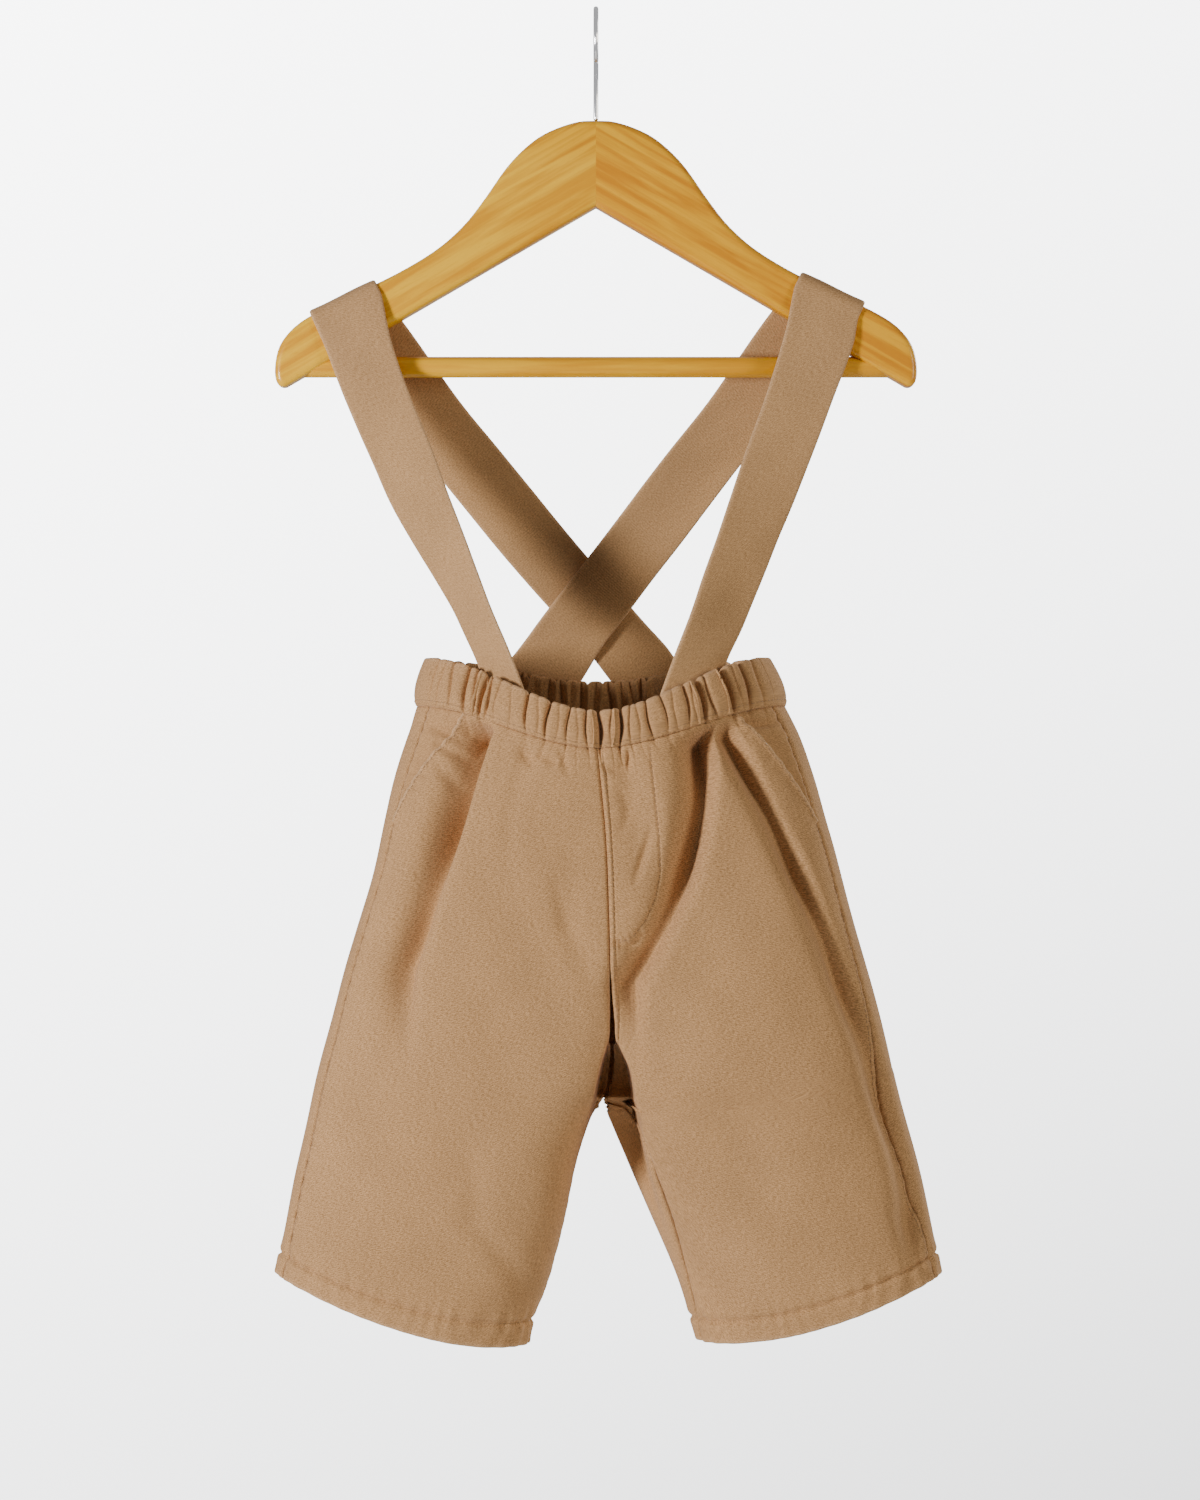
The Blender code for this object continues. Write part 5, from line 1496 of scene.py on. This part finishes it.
def nearest_line(sewn, route):
    """A route of x and z places, seen from the front, laid on a panel's surface."""
    flat = sewn.points[..., [0, 2]].reshape(-1, 2)
    all_points = sewn.points.reshape(-1, 3)
    all_normals = sewn.normals.reshape(-1, 3)
    route = np.array(route, float)
    lengths = lengths_along(route)
    spots = places_at(np.arange(0.0, lengths[-1], 1.0), lengths, route)
    points, normals = [], []
    for x, z in spots:
        gaps = np.hypot(flat[:, 0] - x, flat[:, 1] - z)
        near = np.argpartition(gaps, 4)[:4]
        weights = 1 / (gaps[near] + 0.05)
        weights /= weights.sum()
        point = weights @ all_points[near]
        points.append([x, point[1], z])
        normals.append(unit(weights @ all_normals[near]))
    return np.array(points), np.array(normals)


def panel_stitches(name, sewn, falls, count, face, fly=False):
    pocket_last = last_row(falls, count, POCKET_FALL)
    crotch_last = last_row(falls, count, CROTCH_FALL - 0.05)
    hem_row = last_row(falls, count, HEM_ROW_FALL)
    columns = sewn.points.shape[1]
    lines = [line_along(sewn, hem_row, 2, columns - 2)]
    if face == "front":
        lines.append(line_across(sewn, sewn.across, EDGE_ROW, 3, pocket_last))
        lines.append(line_across(sewn, sewn.across, SEAM_ROW, pocket_last, hem_row))
    if fly:
        lines.append(line_across(sewn, sewn.from_end, WELT_WIDTH, 3, crotch_last))
        lines.append(nearest_line(sewn, FLY_STITCH))
    if face == "back":
        lines.append(line_across(sewn, sewn.from_end, WELT_WIDTH, 3, crotch_last))
    sew(name, [line for line in lines if len(line[0]) > 3])


panel_stitches("stitches_front_left", front_left, front_falls, FRONT_ROWS, "front")
panel_stitches("stitches_front_right", front_right, front_falls, FRONT_ROWS, "front", fly=True)
panel_stitches("stitches_back_left", back_left, back_falls, BACK_ROWS, "back")
panel_stitches("stitches_back_right", back_right, back_falls, BACK_ROWS, "back")

# %% [markdown]
# One more row closes the casing just above its seam, in the groove at its foot.

# %% The row along the waistband's foot
def band_stitches(name, band, sign):
    distance, heights, points = band
    level = int(np.argmin(abs(heights[:OUTSIDE_ROWS] - BAND_ROW)))
    line = points[:, level]
    up = points[:, level + 1] - points[:, level - 1]
    ahead = np.gradient(line, axis=0)
    ways = unit(np.cross(ahead, up)) * sign
    sew(name, [(line, ways)])


band_stitches("stitches_band_front", band_front, 1)
band_stitches("stitches_band_back", band_back, -1)

# %% [markdown]
# ## Hanger
#
# Two flat arms of pale wood meet in a mitre at the middle, with a round bar between their tips. An
# arm is its outline, extruded and then rounded along both faces with a bevel. The grain runs along
# each arm, so the two meet at an angle. Lacquer lies over the wood as a clear coat.

# %% Wood
BAND_SCALE = (14.0, 160.0, 260.0)
FIBRE_SCALE = (90.0, 1500.0, 1500.0)
PORE_SCALE = (260.0, 2400.0, 2400.0)


def make_grain_group():
    """Long fibres and faint growth bands along X of the space that it is given."""
    tree, start, end = new_group(
        "wood grain",
        [("Vector", VECTOR, None), ("Pale", COLOR, (0.8, 0.55, 0.22, 1)),
         ("Deep", COLOR, (0.62, 0.36, 0.11, 1))],
        [("Color", COLOR), ("Height", FLOAT), ("Roughness", FLOAT)],
    )
    space = start.outputs["Vector"]
    bands = stretched_noise(tree, space, BAND_SCALE, Detail=5.0, Roughness=0.5, Distortion=0.35)
    fibres = stretched_noise(tree, space, FIBRE_SCALE, Detail=3.0, Roughness=0.7)
    pores = stretched_noise(tree, space, PORE_SCALE, Detail=1.0)
    banded = map_range(tree, bands, 0.4, 0.6)
    share = add_math(tree, "ADD", add_math(tree, "MULTIPLY", banded, 0.72),
                     add_math(tree, "MULTIPLY", fibres, 0.36))
    color = mix_colors(tree, share, start.outputs["Deep"], start.outputs["Pale"])
    dark_pores = map_range(tree, pores, 0.66, 0.78, 0.0, 0.4)
    flecked = mix_colors(tree, dark_pores, color, start.outputs["Deep"])
    rough = map_range(tree, share, to_low=0.42, to_high=0.3)
    set_inputs(tree, end, Color=flecked, Height=fibres, Roughness=rough)
    return tree


GRAIN = make_grain_group()
GRAIN_STRENGTH = 0.12
GRAIN_RELIEF = 0.08
ARM_SLOPE = radians(30.0)
NECK_LOW_Z = -72.0
NECK_HIGH_Z = -64.0
NECK_PALE = (0.95, 0.5, 0.008)
NECK_DEEP = (0.62, 0.22, 0.001)


def wood_material(name, pale, deep, slope, shift):
    """Lacquered wood with its grain on a slope. Near the hook's foot both arms share one tone."""
    material, tree, shader = new_material(name, Coat_Weight=0.3, Coat_Roughness=0.14,
                                          Specular_IOR_Level=0.25)
    place = tree.nodes.new("ShaderNodeTexCoord")
    turned = add_node(tree, "ShaderNodeMapping", Vector=place.outputs["Object"],
                      Location=(shift, 0.0, 0.0), Rotation=(0.0, slope, 0.0))
    grain = add_group(tree, GRAIN)
    split = add_node(tree, "ShaderNodeSeparateXYZ", Vector=place.outputs["Object"])
    neck = map_range(tree, split.outputs["Z"], NECK_LOW_Z * MM, NECK_HIGH_Z * MM)
    set_inputs(tree, grain, Vector=turned.outputs[0],
               Pale=mix_colors(tree, neck, (*pale, 1.0), (*NECK_PALE, 1.0)),
               Deep=mix_colors(tree, neck, (*deep, 1.0), (*NECK_DEEP, 1.0)))
    dress_shader(tree, shader, grain, GRAIN_STRENGTH, GRAIN_RELIEF)
    return material


# One wood for both arms, painted paler on the left arm and darker on the right: painted light and shade
# from the window on the left.
WOOD_LEFT_PAINTED_LIGHT = wood_material("lacquered wood left with painted light", (0.99, 0.56, 0.02), (0.7, 0.28, 0.002),
                          ARM_SLOPE, 0.3)
WOOD_RIGHT_PAINTED_SHADE = wood_material("lacquered wood right with painted shade", (0.95, 0.48, 0.01), (0.62, 0.21, 0.001),
                           -ARM_SLOPE, 1.7)
WOOD_BAR = wood_material("lacquered dowel", (0.94, 0.5, 0.012), (0.72, 0.3, 0.003), 0.0, 3.1)
print("the grain slopes", round(ARM_SLOPE * 180 / pi), "degrees on the arms")

# %% [markdown]
# An arm's outline runs along its top edge to the tip, round the tip on a smooth curve and back
# along its straight underside. Both long rims are rounded, and the mitred end stays square.

# %% Arms
APEX_UNDERSIDE_Z = -91.9
UNDERSIDE_SLOPE = 0.58
TIP_UNDERSIDE_OUT = 145.0
ARM_ROUNDING = 5.0
ARM_ROUNDING_STEPS = 7
ARM_STEP = 3.0
TIP_CORNER = 8.0


def arm_outline():
    """One arm's outline in distance from the middle and height: its top edge, then its underside."""
    out = np.arange(0.0, ARM_TOP[-4].out, ARM_STEP)
    points = [(x, float(along(ARM_TOP, "z", x))) for x in out]
    under_z = APEX_UNDERSIDE_Z - UNDERSIDE_SLOPE * TIP_UNDERSIDE_OUT
    tip = [tuple(row) for row in ARM_TOP[-5:]] + [(TIP_UNDERSIDE_OUT, under_z)]
    tip.append((TIP_UNDERSIDE_OUT - TIP_CORNER, under_z + TIP_CORNER * UNDERSIDE_SLOPE))
    corners = np.array(tip, float)
    for before, low, high, after in zip(corners, corners[1:], corners[2:], corners[3:]):
        for s in np.arange(0.0, 1.0, 0.25):
            bend = (high - before) * s + (2 * before - 5 * low + 4 * high - after) * s * s
            bend += (3 * low - before - 3 * high + after) * s ** 3
            points.append(tuple(low + bend / 2))
    points.append((TIP_UNDERSIDE_OUT, under_z))
    points.append((0.0, APEX_UNDERSIDE_Z))
    return points


def wooden_arm(name, sign, material, replaced):
    bm = bmesh.new()
    outline = [bm.verts.new((sign * x * MM, -ARM_THICK / 2 * MM, z * MM)) for x, z in arm_outline()]
    face = bm.faces.new(outline)
    raised = bmesh.ops.extrude_face_region(bm, geom=[face])["geom"]
    back = [item for item in raised if isinstance(item, bmesh.types.BMVert)]
    bmesh.ops.translate(bm, verts=back, vec=(0.0, ARM_THICK * MM, 0.0))
    rims = [edge for edge in bm.edges
            if abs(edge.verts[0].co.y - edge.verts[1].co.y) < 1e-7
            and max(abs(vert.co.x) for vert in edge.verts) > 0.5 * MM]
    bmesh.ops.bevel(bm, geom=rims, offset=ARM_ROUNDING * MM, offset_type="OFFSET",
                    segments=ARM_ROUNDING_STEPS, profile=0.5, affect="EDGES", material=-1,
                    clamp_overlap=True)
    bmesh.ops.recalc_face_normals(bm, faces=bm.faces)
    finish_piece(place_solid(name, bm), material, "lacquered_wood", replaced)
    print(name, "is", ARM_THICK, "mm thick")


wooden_arm("wood_arm_left", -1, WOOD_LEFT_PAINTED_LIGHT, "hanger_arm_left")
wooden_arm("wood_arm_right", 1, WOOD_RIGHT_PAINTED_SHADE, "hanger_arm_right")

# %% [markdown]
# The bar is a turned dowel with slightly rounded ends, which sit in the arms' tips.

# %% Bar
BAR_RADIUS = 4.9
BAR_HALF_LENGTH = 141.0
BAR_Z = -166.6
BAR_ROUNDING = 0.6


def wooden_bar(name, replaced):
    bm = bmesh.new()
    place = Matrix.Translation((0, 0, BAR_Z * MM)) @ Matrix.Rotation(pi / 2, 4, "Y")
    bmesh.ops.create_cone(bm, cap_ends=True, segments=48, radius1=BAR_RADIUS * MM,
                          radius2=BAR_RADIUS * MM, depth=2 * BAR_HALF_LENGTH * MM, matrix=place)
    caps = [edge for edge in bm.edges if abs(edge.verts[0].co.x - edge.verts[1].co.x) < 1e-7]
    bmesh.ops.bevel(bm, geom=caps, offset=BAR_ROUNDING * MM, offset_type="OFFSET", segments=3, profile=0.5,
                    affect="EDGES", material=-1)
    finish_piece(place_solid(name, bm), WOOD_BAR, "lacquered_wood", replaced)
    print(name, "is", 2 * BAR_HALF_LENGTH, "mm long")


wooden_bar("wood_bar", "hanger_bar")

# %% [markdown]
# ## Hook
#
# The hook is bright wire, seen edge-on. Its loop is an arc round the rail's place, so the route is
# an arc and a short bend into the straight stem. A round cap closes the tip.

# %% Hook
WIRE_RADIUS = 1.2
HOOK_RADIUS = 13.0
HOOK_TIP_ANGLE = -2.55
HOOK_STEM_ANGLE = 0.62
HOOK_STEM_BEND_Z = -34.0
STEM_FOOT_Z = -51.1
WIRE_SIDES = 16
WIRE_ROUNDING = 0.9


def hook_route():
    reach = HOOK_RADIUS + WIRE_RADIUS
    angles = np.linspace(HOOK_TIP_ANGLE, HOOK_STEM_ANGLE + pi / 2, 60)
    arc = [(0.0, reach * np.sin(a), -HOOK_RADIUS + reach * np.cos(a)) for a in angles]
    leave_y, leave_z = arc[-1][1:]
    bend = [(0.0, leave_y * (1 - smooth_step(s)), mix(leave_z, HOOK_STEM_BEND_Z, s))
            for s in np.linspace(0.0, 1.0, 14)[1:]]
    return arc + bend + [(0.0, 0.0, STEM_FOOT_Z)]


def chrome_material(name):
    material, tree, shader = new_material(name, Metallic=1.0)
    place = tree.nodes.new("ShaderNodeTexCoord")
    smear = add_node(tree, "ShaderNodeTexNoise", Vector=place.outputs["Object"], Scale=90.0,
                     Detail=2.0).outputs["Fac"]
    tone = mix_colors(tree, smear, (0.78, 0.78, 0.8, 1), (0.9, 0.9, 0.91, 1))
    rough = map_range(tree, smear, to_low=0.1, to_high=0.2)
    set_inputs(tree, shader, Base_Color=tone, Roughness=rough)
    return material


def wire_hook(name, material, replaced):
    route = np.array(hook_route())
    ahead = unit(np.gradient(route, axis=0))
    bm = bmesh.new()
    ring = None
    for point, way in zip(route, ahead):
        turn = Vector(way).to_track_quat("Z", "X").to_matrix().to_4x4()
        place = Matrix.Translation(Vector(point * MM)) @ turn
        made = bmesh.ops.create_circle(bm, segments=WIRE_SIDES, radius=WIRE_RADIUS * MM,
                                       matrix=place)["verts"]
        edges = list({edge for vert in made for edge in vert.link_edges})
        if ring:
            bmesh.ops.bridge_loops(bm, edges=ring + edges)
        ring = edges
    bmesh.ops.holes_fill(bm, edges=[edge for edge in bm.edges if edge.is_boundary], sides=0)
    caps = [edge for face in bm.faces if len(face.verts) == WIRE_SIDES for edge in face.edges]
    bmesh.ops.bevel(bm, geom=caps, offset=WIRE_ROUNDING * MM, offset_type="OFFSET", segments=4,
                    profile=0.5, affect="EDGES", material=-1)
    bmesh.ops.recalc_face_normals(bm, faces=bm.faces)
    hook = place_solid(name, bm, sharp_angle=None)
    finish_piece(hook, material, "hook_chrome", replaced)
    print(name, "is bent from wire", 2 * WIRE_RADIUS, "mm thick")


wire_hook("chrome_hook", chrome_material("bright chrome"), "hanger_hook")

# %% [markdown]
# ## Camera, floor and light
#
# The photo is taken straight on from a few steps away, so the camera looks along +Y at the middle of
# the garment. The hanging shorts are high above the floor.

# %% Camera
CAMERA_DISTANCE = 1800.0
VIEW_HEIGHT = 703.1
VIEW_MIDDLE = (1.9, -346.0)

camera_data = bpy.data.cameras.new("camera")
camera_data.sensor_width = 36.0
camera_data.lens = 36.0 * CAMERA_DISTANCE / VIEW_HEIGHT
camera_data.clip_end = 20.0
camera = bpy.data.objects.new("camera", camera_data)
camera.location = (VIEW_MIDDLE[0] * MM, -CAMERA_DISTANCE * MM, VIEW_MIDDLE[1] * MM)
camera.rotation_euler = (radians(90), 0.0, 0.0)
bpy.context.scene.collection.objects.link(camera)
bpy.context.scene.camera = camera
print("the camera's lens is", round(camera_data.lens, 1), "mm")

# %% [markdown]
# Light comes from a small soft window on the left. A weaker, warmer one stands on the right, and a third
# one behind it lights the back. A pale sky fills in. The camera sees the sky as the wall behind the
# shorts, with painted shade that grows darker to the right and downward, and the cloth gets less light
# from it.

# %% Light
def softbox(name, place, aim, size, power, color):
    data = bpy.data.lights.new(name, "AREA")
    data.shape = "RECTANGLE"
    data.size, data.size_y = size
    data.energy = power
    data.color = color
    obj = bpy.data.objects.new(name, data)
    obj.location = place
    obj.rotation_euler = (Vector(place) - Vector(aim)).to_track_quat("Z", "Y").to_euler()
    bpy.context.scene.collection.objects.link(obj)


AIM = (0, 0, -0.35)
softbox("window_left", (-1.25, -1.0, -0.28), AIM, (0.3, 0.42), 30.0, (1.0, 0.98, 1.0))
softbox("window_right", (1.4, -0.9, -0.05), AIM, (0.5, 0.7), 11.0, (1.0, 0.93, 0.8))
softbox("window_back", (1.5, 1.2, 0.3), AIM, (0.6, 0.8), 16.0, (1.0, 0.97, 0.93))

SKY_MIDDLE = 5.1
SKY_RIGHTWARD = -5.2
SKY_UPWARD = 10.0
SKY_LIGHT = 0.14
SKY_MIRRORED = 0.4

world = bpy.data.worlds.new("pale studio")
bpy.context.scene.world = world
world.use_nodes = True
tree = world.node_tree
backdrop = tree.nodes["Background"]
sky = add_node(tree, "ShaderNodeTexCoord")
split = add_node(tree, "ShaderNodeSeparateXYZ", Vector=sky.outputs["Generated"])
rightward = add_math(tree, "MULTIPLY", split.outputs["X"], SKY_RIGHTWARD)
upward = add_math(tree, "MULTIPLY", split.outputs["Z"], SKY_UPWARD)
# Painted shade on the wall that the camera sees: darker to the right and downward.
wall = add_math(tree, "ADD", add_math(tree, "ADD", rightward, upward), SKY_MIDDLE)
ray = tree.nodes.new("ShaderNodeLightPath")
seen = add_math(tree, "MULTIPLY", ray.outputs["Is Camera Ray"], wall)
mirrored = add_math(tree, "MULTIPLY", ray.outputs["Is Glossy Ray"], SKY_MIRRORED)
hidden = add_math(tree, "SUBTRACT", 1.0, ray.outputs["Is Camera Ray"])
unseen = add_math(tree, "MULTIPLY", hidden, add_math(tree, "ADD", mirrored, SKY_LIGHT))
backdrop.inputs["Color"].default_value = (0.985, 0.99, 1.0, 1.0)
tree.links.new(add_math(tree, "ADD", seen, unseen), backdrop.inputs["Strength"])
print("three windows and a sky")

# %% [markdown]
# The floor is a plain pale disc, a metre below the hook. The camera at the front doesn't see it.

# %% Floor
def pale_floor(name, radius, height):
    bm = bmesh.new()
    bmesh.ops.create_circle(bm, cap_ends=True, segments=96, radius=radius,
                            matrix=Matrix.Translation((0, 0, height)))
    mesh = bpy.data.meshes.new(name)
    bm.to_mesh(mesh)
    bm.free()
    obj = bpy.data.objects.new(name, mesh)
    bpy.context.scene.collection.objects.link(obj)
    material, _, _ = new_material("pale floor", Base_Color=(0.86, 0.86, 0.85, 1.0), Roughness=0.8)
    mesh.materials.append(material)
    print(name, "is", 2 * radius, "m across")


pale_floor("floor", 0.9, -1.0)
